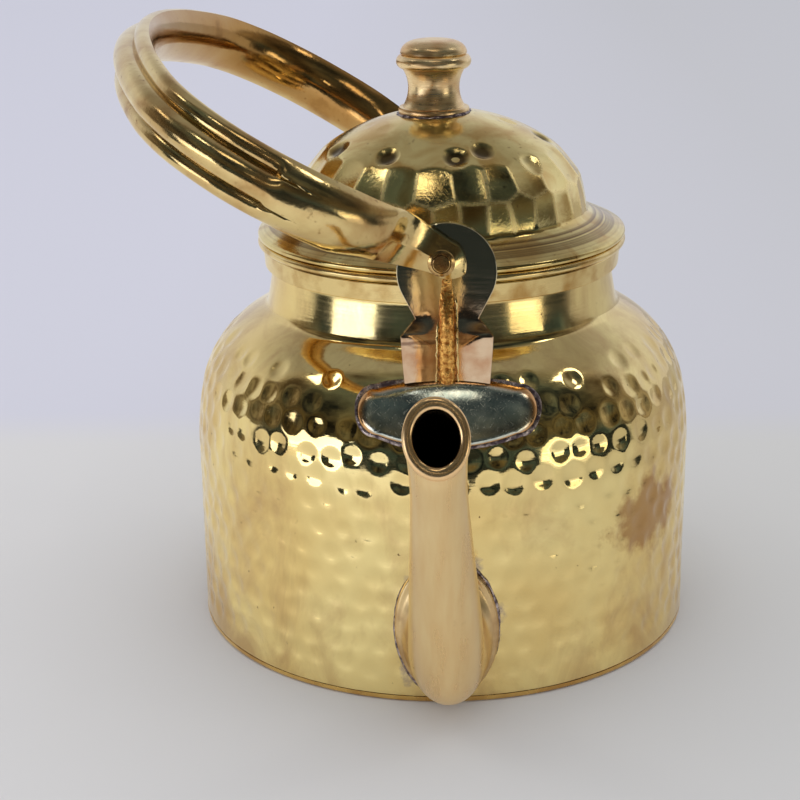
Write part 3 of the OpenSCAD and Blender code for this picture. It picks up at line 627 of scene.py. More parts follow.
def seam(name, path, wide, tall, seed, closed=True):
    """Lays an uneven bead of solder along a path of (place, way out) pairs, in mm."""
    rings = []
    for i, (spot, out) in enumerate(path):
        spot, out = Vector(spot), Vector(out).normalized()
        before = path[i - 1][0] if closed or i > 0 else path[i][0]
        after = path[(i + 1) % len(path)][0] if closed or i < len(path) - 1 else path[i][0]
        aside = (Vector(after) - Vector(before)).cross(out).normalized()
        fade = 1 if closed else min(1, (i + 0.5) / 3, (len(path) - i - 0.5) / 3)
        across = wide * fade * (0.85 + 0.7 * noise.noise(spot / (7 * wide) + Vector((seed, 0, 0))))
        high = tall * fade * (0.80 + 0.7 * noise.noise(spot / (4 * wide) + Vector((0, seed, 0))))
        turns = [2 * pi * k / 12 for k in range(12)]
        rings.append([spot + aside * across * cos(a) + out * high * sin(a) for a in turns])
    return loft(name, rings + rings[:1] if closed else rings, 70)


path = []
for k in range(160):
    a = 2 * pi * k / 160
    x, z = (root_hw - 0.1) * cos(a) + spout_off, spout_root_z + (root_hh - 0.1) * sin(a)
    y = -sqrt(body_r ** 2 - x * x)
    path.append(((x, y - 0.1, z), (x / body_r + cos(a), y / body_r - 0.4, sin(a))))
spout_seam = seam("spout_solder", path, 0.55, 0.5, 3)
# Silver solder, left as it ran: dark grey with a violet tint, lumpy, pitted and bright in places.
solder_finish = plain_metal("silver_solder", ("#5c5058", "#c4b6b4"), (0.0014, 5.0), (0.40, 0.64),
                            (0.0014, 5.0), (0.55, 0.16), (0.6, 0.0004), span=(0.35, 0.65))
spout_seam.data.materials.append(solder_finish)
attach(spout_seam, "kettle")

# Ears. Each is cut from plate, with a round head, a waist where it is set forward by a joggle, and a
# tab. A rib stiffens the tab, and an oval foot of sheet is soldered over its end and the shoulder.
lid_r = 46.0
ear_r, ear_t, ear_gap, ear_off, ear_head_h = 11.3, 2.0, 4.4, 1.2, 5.1
waist_w, waist_drop, tab_w, tab_drop, tab_step, tab_taper = 14.3, 10.8, 21.0, 4.0, 1.0, 0.8
foot_hw, foot_hh, foot_end_r, foot_drop, foot_t, rib_w, rib_t = 20.7, 6.8, 4.6, 26.6, 1.6, 5.6, 1.4
pin_h, tongue_tip, tongue_gap = 8.4, 6.2, 0.3
ear_back = lid_r + ear_gap
ear_front = ear_back + ear_t
tab_front = ear_front + tab_step
ear_z, pin_z = mouth_z + ear_head_h, mouth_z + pin_h


def pot_radius(z, out):
    """Radius of the pot's outside at a height on the wall or shoulder, standing out by that much."""
    long_top = polar(long_c, shoulder_long_r + out, shoulder_long_a)
    round_top = polar(round_c, shoulder_round_r + out, shoulder_round_a)
    if z < shoulder_z:
        return body_r + out
    if z < long_top[1]:
        return long_c[0] + sqrt((shoulder_long_r + out) ** 2 - (z - long_c[1]) ** 2)
    if z < round_top[1]:
        return round_c[0] + sqrt((shoulder_round_r + out) ** 2 - (z - round_c[1]) ** 2)
    return round_top[0] - (z - round_top[1]) * tan(radians(shoulder_round_a))


def step(t):
    """Smooth step from 0 to 1."""
    t = min(max(t, 0), 1)
    return t * t * (3 - 2 * t)


def pot_height(r, out):
    """Height of the upper shoulder at a radius, standing out by that much."""
    round_top = polar(round_c, shoulder_round_r + out, shoulder_round_a)
    if r < round_top[0]:
        return round_top[1] + (round_top[0] - r) / tan(radians(shoulder_round_a))
    return round_c[1] + sqrt(max((shoulder_round_r + out) ** 2 - (r - round_c[0]) ** 2, 0))


joggle_z, joggle_h, soft_w = ear_z - waist_drop - tab_drop / 2, 10.0, 6.5


def plate_face(x, z):
    """How far in front of the axis the plate's face is. Its joggle is steep at the edges, soft at the rib."""
    near_rib = step(1.3 - abs(x - ear_off) / soft_w)
    return ear_front + tab_step * step(0.5 + (joggle_z - z) / (tab_drop + near_rib * (joggle_h - tab_drop)))


waist = (waist_w / 2, -waist_drop)
tangent_a = degrees(atan2(waist[1], waist[0])
                         + acos(ear_r / hypot(*waist)))
half = arc((0, 0), ear_r, 90, tangent_a, 40) + [waist, (tab_w / 2, -waist_drop - tab_drop),
                                                (tab_w / 2 - tab_taper, -ear_head_h - foot_drop)]
outline = half + [(-x, z) for x, z in half[::-1]][:-1]
plate = drawn("front_ear_plate", [(x + ear_off, -ear_back, z + ear_z) for x, z in outline])
bpy.ops.mesh.edge_face_add()
bpy.ops.mesh.extrude_region_move(TRANSFORM_OT_translate={"value": Vector((0, -ear_t, 0)) * mm})
cut_rows, cut_columns = 22, 9
cuts = [((0, 0, joggle_z + joggle_h * (i / cut_rows - 0.5)), (0, 0, 1)) for i in range(cut_rows + 1)]
cuts += [((ear_off + i, 0, 0), (1, 0, 0)) for i in range(-cut_columns, cut_columns + 1)]
for place, way in cuts:
    bpy.ops.mesh.select_all(action="SELECT")
    bpy.ops.mesh.bisect(plane_co=Vector(place) * mm, plane_no=way)
bpy.ops.object.mode_set(mode="OBJECT")
for v in plate.data.vertices:
    v.co.y -= mm * (plate_face(v.co.x / mm, v.co.z / mm) - ear_front)
    if v.co.z < (mouth_z - foot_drop + 0.1) * mm:
        v.co.z = (pot_height(v.co.xy.length / mm, 0) - 0.5) * mm
close_up(plate, 35)
edge = plate.modifiers.new("filed_edge", "BEVEL")
edge.width = 0.45 * mm
edge.segments = 3
edge.limit_method = "ANGLE"
edge.angle_limit = radians(40)
bpy.ops.object.modifier_apply(modifier="filed_edge")
bpy.ops.object.shade_smooth_by_angle(angle=radians(25))
for face in plate.data.polygons:
    face.use_smooth = face.area < mm * mm or abs(face.center.z / mm - joggle_z) < joggle_h / 2

rib_low, rib_top = pot_height(tab_front, 0) - 1.6, pin_z - tongue_tip - 2 * tongue_gap
film_top, film_t, rib_steps, braze_steps, fillet_steps = pin_z - 3.6, 0.14, 80, 47, 39
rings = []
for i in range(rib_steps + 1):
    z = rib_low + (film_top - rib_low) * i / rib_steps
    end = sqrt(max(0.02, 1 - max(0, 1 - (i + 0.5) / 7) ** 2)) * sqrt(min(1, (rib_steps + 1 - i) / 6))
    half_w = (rib_w / 2 - 0.75 - 0.35 * i / rib_steps) * end
    thin = step((rib_top - z) / 8)
    sunk = plate_face(ear_off, z) - 0.4
    proud = (plate_face(ear_off, z) + film_t) * (1 - thin) + (tab_front + rib_t) * thin - sunk
    ring_points = []
    for k in range(28):
        a = 2 * pi * k / 28
        deep = proud * sin(a) if sin(a) > 0 else 0.6 * sin(a)
        rough = 1 + 0.08 * noise.noise(Vector((cos(a) * 1.6, sin(a) * 1.6, z * 0.9)))
        deep *= rough if thin > 0.5 else 1
        ring_points.append((ear_off + half_w * cos(a) * rough, -sunk - deep * min(1, (i + 1) / 5), z))
    rings.append(ring_points)
rib = loft("front_ear_rib", rings, 70)
brazing = []
for side, top in ((-1, 0.62), (1, 0.86)):
    path = []
    for i in range(braze_steps + 1):
        z = rib_low + 1.2 + (rib_top - rib_low) * top * i / braze_steps
        sway = 0.22 * noise.noise(Vector((side * 9, 0, z * 0.8)))
        x = ear_off + side * (rib_w / 2 - 0.35 - 0.35 * i / braze_steps) + sway
        path.append(((x, -plate_face(x, z), z), (side * 0.5, -1, 0)))
    brazing.append(seam("front_ear_braze", path, 0.34, 0.42, 21 + side, False))
edit(brazing[0])
bpy.ops.object.mode_set(mode="OBJECT")
brazing[1].select_set(True)
bpy.ops.object.join()
braze = brazing[0]

end_x = foot_hw - foot_end_r
big_y = (end_x ** 2 + foot_end_r ** 2 - foot_hh ** 2) / (2 * (foot_hh - foot_end_r))
big_r = foot_hh + big_y
join_a = degrees(atan2(big_y, end_x))
quarter = arc((end_x, 0), foot_end_r, 0, join_a, 14) + arc((0, -big_y), big_r, join_a, 90, 16)[1:]
oval = (quarter + [(-x, z) for x, z in quarter[-2::-1]] + [(-x, -z) for x, z in quarter[1:]]
        + [(x, -z) for x, z in quarter[-2:0:-1]])
rings = []
for share, thick in ((0.02, 1.0), (0.25, 1.0), (0.5, 1.0), (0.7, 0.99), (0.82, 0.97), (0.88, 0.93),
                     (0.93, 0.82), (0.965, 0.66), (0.985, 0.45), (1.0, 0.1), (0.995, -0.25)):
    ring_points = []
    for x, z in oval:
        height = mouth_z - foot_drop + z * share
        r = pot_radius(height, thick * foot_t)
        across = ear_off + x * share
        ring_points.append((across, -sqrt(r * r - across * across), height))
    rings.append(ring_points)
foot = loft("front_ear_foot", rings, 70)
uneven(foot, 6, 0.12)
path = []
for x, z in oval:
    height = mouth_z - foot_drop + z
    r = pot_radius(height, 0)
    across = ear_off + x
    y = -sqrt(r * r - across * across)
    lift = atan2(height - round_c[1], r - round_c[0])
    way_out = Vector((across / r * cos(lift), y / r * cos(lift), sin(lift)))
    path.append(((across, y, height), way_out))
ear_seam = seam("front_ear_solder", path, 0.95, 0.34, 8)
path, fillet_y = [], tab_front + 0.35
for i in range(fillet_steps + 1):
    across = ear_off + (tab_w / 2 - tab_taper + 0.3) * (2 * i / fillet_steps - 1)
    path.append(((across, -fillet_y, pot_height(hypot(fillet_y, across), 0) + 0.1), (0, -0.6, 0.8)))
tab_seam = seam("front_ear_fillet", path, 1.15, 0.75, 14, False)

# Brass plate, filed and polished by hand: a dark, greenish mirror on the flat head and coppery on the
# tab, with fine filing scratches across it and dark streaks from the torch below the head.
ear_finish, add, place = finish_named("filed_brass_plate")
at_z = add("SeparateXYZ", place["Object"]).outputs["Z"]
cloud = add("TexNoise", place["Object"], Scale=1 / 0.005, Detail=5.0)
warm = add("MapRange", cloud, 0.40, 0.66)
coppery = add("Mix", warm, "#d9bfa0", "#c39a78")
head = add("MapRange", at_z, 0.092, 0.100)
clean = add("Mix", head, coppery, "#e4d8b4")
file_map = add("Mapping", place["Object"], Rotation=(0, 0.25, 0), Scale=(0.06, 0.5, 1.0))
file_marks = add("TexNoise", file_map, Scale=1 / 0.0005, Detail=4.0)
streak_map = add("Mapping", place["Object"], Scale=(0.16, 0.5, 1.0))
streak = add("TexNoise", streak_map, Scale=1 / 0.0016, Detail=5.0)
streak_high = add("MapRange", at_z, 0.078, 0.089, -0.06, 0.05)
streak_end = add("MapRange", at_z, 0.091, 0.096, 0.0, -0.2)
streak_zone = add("Math", streak_high, streak_end, operation="ADD")
streak_there = add("Math", streak, streak_zone, operation="ADD")
dark = add("MapRange", streak_there, 0.58, 0.66, 0, 0.7)
coloured = add("Mix", dark, clean, "#6e5145")
dull = add("MapRange", file_marks, 0.3, 0.7, 0.05, 0.09)
scratches = add("Bump", Height=file_marks, Strength=0.012, Distance=0.0001)
waves = add("Bump", Height=cloud, Strength=0.03, Distance=0.001, Normal=scratches)
bare_metal(add, coloured, dull, waves)

# The foot's sheet is darkened by the torch and rubbed: a blue-grey mirror full of fine pale scratches
# that cross each other, with a coppery edge.
foot_finish, add, place = finish_named("torch_darkened_brass")
cloud = add("TexNoise", place["Object"], Scale=1 / 0.004, Detail=5.0)
dark = add("MapRange", cloud, 0.38, 0.62)
blued = add("Mix", dark, "#dde2d6", "#a6b3ae")
strokes = []
for turn in (0.75, -0.9):
    turned = add("Mapping", place["Object"], Rotation=(0, turn, 0))
    drawn_out = add("Mapping", turned, Scale=(0.09, 0.5, 1.0))
    strokes.append(add("TexNoise", drawn_out, Scale=1 / 0.00032, Detail=4.0, Distortion=0.6))
fine = add("Math", strokes[0], strokes[1], operation="MAXIMUM")
scratch = add("MapRange", fine, 0.58, 0.74, 0, 0.7)
rubbed = add("Mix", scratch, blued, "#f0eede")
run = add("SeparateXYZ", place["UV"])
rim = add("MapRange", run.outputs["Y"], 0.52, 0.66, 0, 0.9)
coloured = add("Mix", rim, rubbed, "#d09a5c")
dull = add("MapRange", scratch, 0, 1, 0.14, 0.42)
lines = add("Bump", Height=fine, Strength=0.18, Distance=0.0001)
bare_metal(add, coloured, dull, lines)

# Spelter, the yellow solder that floods the rib: grainy gold and copper with a dull, pitted skin.
rib_finish = plain_metal("brass_spelter", ("#a8692f", "#f2bd68"), (0.0008, 4.0), (0.36, 0.64),
                         (0.0008, 4.0), (0.42, 0.18), (0.5, 0.0004))

for piece, finish, plated in ((plate, ear_finish, True), (rib, rib_finish, True), (foot, foot_finish, True),
                              (braze, ring_finish, False), (ear_seam, solder_finish, False),
                              (tab_seam, ear_finish, False)):
    piece.data.materials.append(finish)
    back = piece.copy()
    back.data = piece.data.copy()
    back.name = piece.name.replace("front", "back")
    back.data.name = back.name
    bpy.context.collection.objects.link(back)
    for v in back.data.vertices:
        v.co.y = -v.co.y
    edit(back)
    bpy.ops.mesh.flip_normals()
    bpy.ops.object.mode_set(mode="OBJECT")
    for twin in (piece, back):
        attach(twin, "kettle")
        if plated:
            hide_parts("front_ear" if twin is piece else "back_ear")

# Bail. The handle is cast in one piece: a bar with three half-round beads outside, which run out into
# plain legs that thin towards their ends, and a filed two-faceted tongue at each end for the rivet.
bail_lean, bail_top, crown_r, crown_a, corner_r, leg_r = 60.5, 83.8, 119.0, 26.0, 33.5, 43.0
bar_hw, bar_out, bar_in, mid_bead_r, side_bead_r = 7.6, 5.1, 4.2, 3.6, 2.5
groove_end_h, groove_run, taper_h, shoulder_hw, shoulder_h, shoulder_drop = 30.0, 26.0, 26.0, 5.9, 15.0, 6.0
tongue_hw, tongue_t, tongue_edge_t, tongue_low, ramp_t, ramp_h = 4.7, 3.8, 2.0, 0.76, 5.5, 3.2
end_thin, end_narrow, tip_thin, tip_from, tip_swell, tip_point = 0.45, 0.04, 0.8, 1.5, 1.8, 0.72
blend_from, blend_steps, blend_lead, start_pull, end_pull = 9, 18, 6, 0.6, 1.7
tongue_y = ear_front + tongue_gap
tongue_face = tongue_y + tongue_t
crown_mid = (0.0, bail_top - crown_r)
corner_mid = polar(crown_mid, crown_r - corner_r, 90 - crown_a)
leg_mid = (corner_mid[0] + corner_r - leg_r, corner_mid[1])
shoulder_turn = degrees(acos((shoulder_h - leg_mid[1]) / leg_r))


def bar_mid(a):
    """Middle of the bar where its outer face looks that angle away from upright."""
    side = copysign(1, a)
    if abs(a) <= crown_a:
        mid, r = crown_mid, crown_r
    elif abs(a) <= 90:
        mid, r = (side * corner_mid[0], corner_mid[1]), corner_r
    else:
        mid, r = (side * leg_mid[0], leg_mid[1]), leg_r
    return polar(mid, r, 90 - a)


side_w, mid_n = bar_hw - side_bead_r, bar_out - mid_bead_r
bead_d = hypot(side_w, mid_n)
bead_along = (bead_d ** 2 + mid_bead_r ** 2 - side_bead_r ** 2) / (2 * bead_d)
bead_aside = sqrt(mid_bead_r ** 2 - bead_along ** 2)
groove_w = (side_w * bead_along + mid_n * bead_aside) / bead_d
groove_n = mid_n + (side_w * bead_aside - mid_n * bead_along) / bead_d
side_a = degrees(atan2(groove_n, groove_w - side_w))
mid_a = degrees(atan2(groove_n - mid_n, groove_w))
bead_steps, inner_steps = 12, 20
bead_half = (arc((side_w, 0), side_bead_r, 0, side_a, bead_steps)[:-1]
             + arc((0, mid_n), mid_bead_r, mid_a, 90, bead_steps))
bead_outer = bead_half + [(-w, n) for w, n in bead_half[-2::-1]]


def swell(w, high):
    """Height of an arc over the bar's width."""
    r = (high * high + bar_hw * bar_hw) / (2 * high)
    return sqrt(max(r * r - w * w, 0)) - r + high


def bar_outline(share):
    """Outline of the bar, across and outwards: beaded where share is 1 and smooth where it is 0."""
    outer = []
    for w, n in bead_outer:
        plain = swell(w, bar_out)
        sunk = plain - n
        kept = max(sunk - (1 - share) * (swell(groove_w, bar_out) - groove_n), 0) if sunk > 0 else sunk * share
        outer.append((w, plain - kept))
    across = [-bar_hw * cos(pi * i / inner_steps) for i in range(1, inner_steps)]
    return outer + [(w, -swell(w, bar_in)) for w in across]


def leaning(along, high, across):
    """Puts a point of the upright bail where it leans, as photographed."""
    tilt = radians(bail_lean)
    return (across * cos(tilt) - high * sin(tilt), along,
            across * sin(tilt) + high * cos(tilt) + pin_z)


def bar_share(a):
    """How far the beads still show at an angle: 1 on the arch, and 0 once they have run out on the leg."""
    return step((bar_mid(a)[1] - groove_end_h) / groove_run) if abs(a) > 90 else 1


def bar_ring(a):
    """Section of the bar at an angle: its beads run out, and its ends taper, but for their upper edge."""
    mid = bar_mid(a)
    sin_a, cos_a = sin(radians(a)), cos(radians(a))
    slim = min(max((taper_h - mid[1]) / (taper_h - shoulder_h), 0), 1) if abs(a) > 90 else 0
    wide, full = 1 + step(slim) * (shoulder_hw / bar_hw - 1), 1 - end_narrow * step(slim)
    points = []
    for w, n in bar_outline(bar_share(a)):
        w *= wide + (full - wide) * min(max(1 + n / 2, 0), 1) if w > 0 else wide
        n *= 1 - end_thin * slim ** 2 if n > 0 else 1
        points.append(leaning(mid[0] + n * sin_a, mid[1] + n * cos_a, w))
    return points


def tongue_ring(high, half_w, side):
    """Section of the tongue: flat inside and ridged outside, where its upper half rises to the bar."""
    points = []
    ridge_t = (tongue_t - tongue_edge_t) * (1 - tip_thin * step((-high - tip_from) / (tongue_tip - tip_from)))
    for w, n in bar_outline(0):
        w = w / bar_hw
        rise = ramp_t * step((high - ramp_h) / (tongue_top - ramp_h)) * (1 - w * w) if w > 0 else 0
        thick = tongue_edge_t + ridge_t * (1 - abs(w)) + rise if n > 0 else 0
        share = tongue_low + (1 - tongue_low) * step(high / tongue_top) if w < 0 else 1
        points.append(leaning(side * (tongue_y + thick), high, share * w * half_w))
    return points


bar_angles = [0.0]
for start, stop, count in ((0, crown_a, 16), (crown_a, 90, 28), (90, shoulder_turn, 24)):
    bar_angles += [start + (stop - start) * i / count for i in range(1, count + 1)]
bar_angles = [-a for a in bar_angles[:0:-1]] + bar_angles
tongue_top, tip_h = shoulder_h - shoulder_drop, tongue_hw - tongue_tip
tongue_rows, tongue_steps = 14, []
for i in range(tongue_rows + 1):
    up = 1 - i / tongue_rows
    tongue_steps.append((tongue_top * up, tongue_hw + (shoulder_hw - tongue_hw) * up))
for t in range(0, 90, 5):
    down = sin(radians(t))
    tongue_steps.append((tip_h - tongue_hw * down, tongue_hw * (1 - down ** tip_swell) ** tip_point))


def neck_rings(side):
    """Sections from the bar's end to the tip: one smooth curve above the ridge, and a filed facet below."""
    bar_end = [Vector(v) for v in bar_ring(side * shoulder_turn)]
    before_end = [Vector(v) for v in bar_ring(side * (shoulder_turn - 0.5))]
    steps = [[Vector(v) for v in tongue_ring(h, w, side)] for h, w in tongue_steps[:blend_from + 2]]
    ridge, low_edge = len(bead_half) - 1, len(bead_outer) - 2
    made = []
    for i in range(1, blend_steps + 1):
        t = i / blend_steps
        run = t * (blend_lead + blend_from) - blend_lead
        low = max(0, int(run))
        curves = []
        for first, ahead, end, past in zip(bar_end, before_end, steps[blend_from], steps[blend_from + 1]):
            reach = (end - first).length
            curves.append(first * (2 * t ** 3 - 3 * t ** 2 + 1) + end * (3 * t ** 2 - 2 * t ** 3)
                          + (first - ahead).normalized() * start_pull * reach * (t ** 3 - 2 * t ** 2 + t)
                          + (past - end).normalized() * end_pull * reach * (t ** 3 - t ** 2))
        points = []
        for k, (w, n) in enumerate(bar_outline(0)):
            if n <= 0 and k:
                flat = bar_end[k].lerp(steps[0][k], run / blend_lead + 1)
                after = steps[low][k].lerp(steps[min(low + 1, blend_from)][k], run - low)
                points.append(flat if run < 0 else after)
            elif w >= 0:
                points.append(curves[k])
            else:
                facet = curves[ridge].lerp(curves[low_edge], -w / bar_hw)
                points.append(curves[k].lerp(facet, step(4 * t)))
        made.append([tuple(v) for v in points])
    return made + [tongue_ring(h, w, side) for h, w in tongue_steps[blend_from + 1:]]


rings = neck_rings(-1)[::-1] + [bar_ring(a) for a in bar_angles] + neck_rings(1)
bail = loft("bail_bar", rings, 38)
uneven(bail, 9, 0.10)

# Cast brass, filed smooth and polished along the bar: yellow gold, browner on its inner side as a painted
# reflection of the lid and pot, with painted shade in the grooves broken up by specks, faint waves from the
# file and patches of brown tarnish.
groove_u = (len(bead_half) - bead_steps - 1) / len(rings[0])
groove_v = (len(neck_rings(1)) + [bar_share(a) > 0.5 for a in bar_angles].index(True)) / (len(rings) - 1)
bail_finish, add, place = finish_named("polished_cast_brass")
along = add("SeparateXYZ", place["UV"])
cloud = add("TexNoise", place["Object"], Scale=1 / 0.010, Detail=6.0)
warm = add("MapRange", cloud, 0.40, 0.66)
clean = add("Mix", warm, "#e3cb90", "#c6a36c")
speck = add("TexNoise", place["Object"], Scale=1 / 0.0013, Detail=4.0)
spotted = add("MapRange", speck, 0.64, 0.76, 0, 0.7)
tarnish = add("MapRange", cloud, 0.62, 0.74, 0, 0.55)
browned = add("Math", spotted, tarnish, operation="MAXIMUM")
middle = (len(bead_outer) - 1) / 2 / len(rings[0])
across = add("Math", along.outputs["X"], middle, operation="SUBTRACT")
aside = add("Math", across, operation="ABSOLUTE")
off_groove = add("Math", aside, middle - groove_u, operation="SUBTRACT")
groove_gap = add("Math", off_groove, operation="ABSOLUTE")
in_groove = add("MapRange", groove_gap, 0.004, 0.045, 1.0, 0.0)
end_gap = add("Math", along.outputs["Y"], 0.5, operation="SUBTRACT")
end_off = add("Math", end_gap, operation="ABSOLUTE")
grooved = add("MapRange", end_off, 0.36 - groove_v, 0.50 - groove_v, 1.0, 0.0)
groove = add("Math", in_groove, grooved, operation="MULTIPLY")
# painted shade in the grooves, broken up by the specks
painted_groove_shade = add("Math", groove, speck, operation="MULTIPLY")
tarnish_and_groove_shade = add("Math", painted_groove_shade, 0.55, browned, operation="MULTIPLY_ADD", use_clamp=True)
# painted reflection: the bail's inner face is browner, standing for the lid and pot that it mirrors
inner_painted_reflection = add("MapRange", along.outputs["X"], 2 * middle + 0.02, 2 * middle + 0.07, 0, 0.75)
toned = add("Mix", inner_painted_reflection, clean, "#ae7d3f")
coloured = add("Mix", tarnish_and_groove_shade, toned, "#8a6436")
sheen = add("MapRange", cloud, 0.3, 0.7, 0.09, 0.20)
dull = add("Math", tarnish_and_groove_shade, 0.16, sheen, operation="MULTIPLY_ADD")
waves = add("Bump", Height=speck, Strength=0.10, Distance=0.0003)
bare_metal(add, coloured, dull, waves)
bail.data.materials.append(bail_finish)
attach(bail, "bail")
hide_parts("bail_handle")

# Rivets. A pin of brass rod holds each tongue on its ear. Outside, its end shows as a flat disc in a
# low bevelled ring, and inside it is hammered over.
pin_r, pin_head_r, pin_head_h = 2.2, 3.05, 1.2
head_y = tongue_face + tongue_gap
head_top = head_y + pin_head_h
shank = [(0.0, ear_back - 0.6), (1.6, ear_back - 0.6), (2.4, ear_back - 0.5), (pin_head_r, ear_back - 0.05),
         (pin_head_r, ear_back), (pin_r, ear_back), (pin_r, head_y), (pin_head_r - 0.1, head_y),
         (pin_head_r, head_y + 0.1), (pin_head_r, head_top - 0.7), (pin_head_r - 0.08, head_top - 0.55),
         (pin_r + 0.1, head_top - 0.12), (pin_r, head_top - 0.1), (pin_r - 0.08, head_top - 0.32),
         (pin_r - 0.18, head_top - 0.32), (pin_r - 0.28, head_top - 0.06), (pin_r - 0.4, head_top),
         (0.0, head_top)]
# Brass rod, turned and hammered: a dark flat end with a bright bevel round it.
rivet_finish = plain_metal("hammered_brass_rod", ("#cdab72", "#8f6c44"), (0.0012, 4.0), (0.40, 0.64),
                           (0.0012, 4.0), (0.10, 0.26), (0.08, 0.0003))
for side, name, stands_for in ((-1, "front_rivet_pin", "front_rivet"), (1, "back_rivet_pin", "back_rivet")):
    pin = drawn(name, [(r, side * y, pin_z) for r, y in shank])
    bpy.ops.mesh.spin(steps=64, angle=2 * pi, center=Vector((0, 0, pin_z)) * mm, axis=(0, 1, 0))
    bpy.ops.object.mode_set(mode="OBJECT")
    close_up(pin, 25)
    pin.data.materials.append(rivet_finish)
    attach(pin, "kettle")
    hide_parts(stands_for)

# Lid. Flange and dome are raised from one sheet. The side of the dome is planished in rows of hollow
# facets that meet in ridges, and the crown and flange are polished.
flange_a, dome_r, dome_hollow_r, dome_side_r, dome_side_a, lid_t = 24.5, 36.4, 1.6, 18.0, 55.0, 1.1
lid_gap, lid_bead_r = 0.3, 1.0
rim_z = mouth_z + lid_gap
flange_z = rim_z + 2 * lid_bead_r
edge_c = (lid_r - lid_bead_r, flange_z + lid_bead_r)
edge_p = polar(edge_c, lid_bead_r, 90 - flange_a)
foot_r0 = dome_r + dome_hollow_r * (1 - sin(radians(flange_a)))
foot_p = (foot_r0, edge_p[1] + (edge_p[0] - foot_r0) * tan(radians(flange_a)))
dome_hollow_c = polar(foot_p, dome_hollow_r, 90 - flange_a)
dome_c = (dome_r - dome_side_r, dome_hollow_c[1])
crown_rad = dome_side_r + dome_c[0] / cos(radians(dome_side_a))
crown_c = (0.0, dome_c[1] + (dome_side_r - crown_rad) * sin(radians(dome_side_a)))
lid_top = crown_c[1] + crown_rad
outside = (arc(edge_c, lid_bead_r, -90, 90 - flange_a, 10)
           + line(edge_p, foot_p, 6)
           + arc(dome_hollow_c, dome_hollow_r, 270 - flange_a, 180, 6)
           + arc(dome_c, dome_side_r, 0, dome_side_a, 26)
           + arc(crown_c, crown_rad, dome_side_a, 90, 50)[1:])
inside = (arc(dome_hollow_c, dome_hollow_r + lid_t, 270 - flange_a, 180, 5)
          + arc(dome_c, dome_side_r - lid_t, 0, dome_side_a, 8)
          + arc(crown_c, crown_rad - lid_t, dome_side_a, 90, 8)[1:])
lid = lathe("lid_dome", outside + inside[::-1] + [polar(edge_c, lid_bead_r - lid_t, 90 - flange_a),
                                                  (edge_c[0] - 2 * lid_bead_r, flange_z)], 420, 50)
rng = random.Random(5)
blows = []


def strike(mid, radius, turn, high, reach, depth):
    """Adds a blow on one of the dome's arcs, at an angle round it and an angle up it in degrees."""
    blows.append(blow(*polar(mid, radius, high), radians(turn), radians(high), reach, depth))


# angle up the side, count round, reach and depth of each row of facets
for height_a, count, reach, depth in ((14, 34, 5.2, 0.50), (38, 25, 5.9, 0.74)):
    begin = rng.uniform(0, 1)
    for k in range(count):
        strike(dome_c, dome_side_r, 360 * (k + begin + rng.uniform(-0.14, 0.14)) / count,
               height_a + rng.uniform(-2, 2), reach * rng.uniform(0.94, 1.08), depth * rng.uniform(0.85, 1.1))
# deep dimples that the hammer's edge left round the crown
for turn, high in ((-119, 58.5), (-82, 59), (-66, 61), (-43, 53), (-5, 60), (31, 57), (78, 60),
                   (112, 58), (158, 61), (-158, 57)):
    strike(crown_c, crown_rad, turn, high, rng.uniform(3.0, 3.7), rng.uniform(0.85, 1.05))
# faint ones higher up
for k in range(10):
    strike(crown_c, crown_rad, rng.uniform(0, 360), rng.uniform(65, 76), rng.uniform(2.0, 3.0),
           rng.uniform(0.05, 0.10))
uneven(lid, 9, 0.10)
hammer(lid, blows, 0.0)

# Planished brass, rubbed with a cloth: a paler, greener gold than the pot, satin on the crown with brown
# clouds and fine swirls, a painted highlight on the facets' ridges, dark in the dimples, and a brown painted
# reflection in the flange's turned rings.
lid_finish, add, place = finish_named("planished_brass")
cloud = add("TexNoise", place["Object"], Scale=1 / 0.011, Detail=6.0, Distortion=0.8)
warm = add("MapRange", cloud, 0.42, 0.66)
clean = add("Mix", warm, "#f0dd9a", "#d3b06c")
flat_map = add("Mapping", place["Object"], Scale=(1.0, 1.0, 0.0))
radius = add("VectorMath", flat_map, operation="LENGTH")
turned = add("TexNoise", W=radius, Scale=1 / 0.0009, Detail=3.0, noise_dimensions="1D")
banded = add("MapRange", turned, 0.36, 0.62, 0.25, 0.95)
# painted reflection: the flange is browner in its turned rings, standing for the dark room that it mirrors
flange_in = add("MapRange", radius, 0.0372, 0.0385)
flange_out = add("MapRange", radius, 0.0430, 0.0445, 1.0, 0.2)
flange = add("Math", flange_in, flange_out, operation="MULTIPLY")
flange_painted_reflection = add("Math", flange, banded, operation="MULTIPLY")
browner = add("Mix", flange_painted_reflection, clean, "#77592f")
speck = add("TexNoise", place["Object"], Scale=1 / 0.0014, Detail=3.0)
spotted = add("MapRange", speck, 0.66, 0.76, 0, 0.7)
specked = add("Mix", spotted, browner, "#86602f")
sunk = add("Attribute", attribute_name="sunk")
crown = add("MapRange", radius, 0.0278, 0.0290, 1.0, 0.0)
pit = add("MapRange", sunk.outputs["Fac"], 0.12, 0.75, 0, 0.9)
dimple = add("Math", pit, crown, operation="MULTIPLY")
pitted = add("Mix", dimple, specked, "#3a2a16")
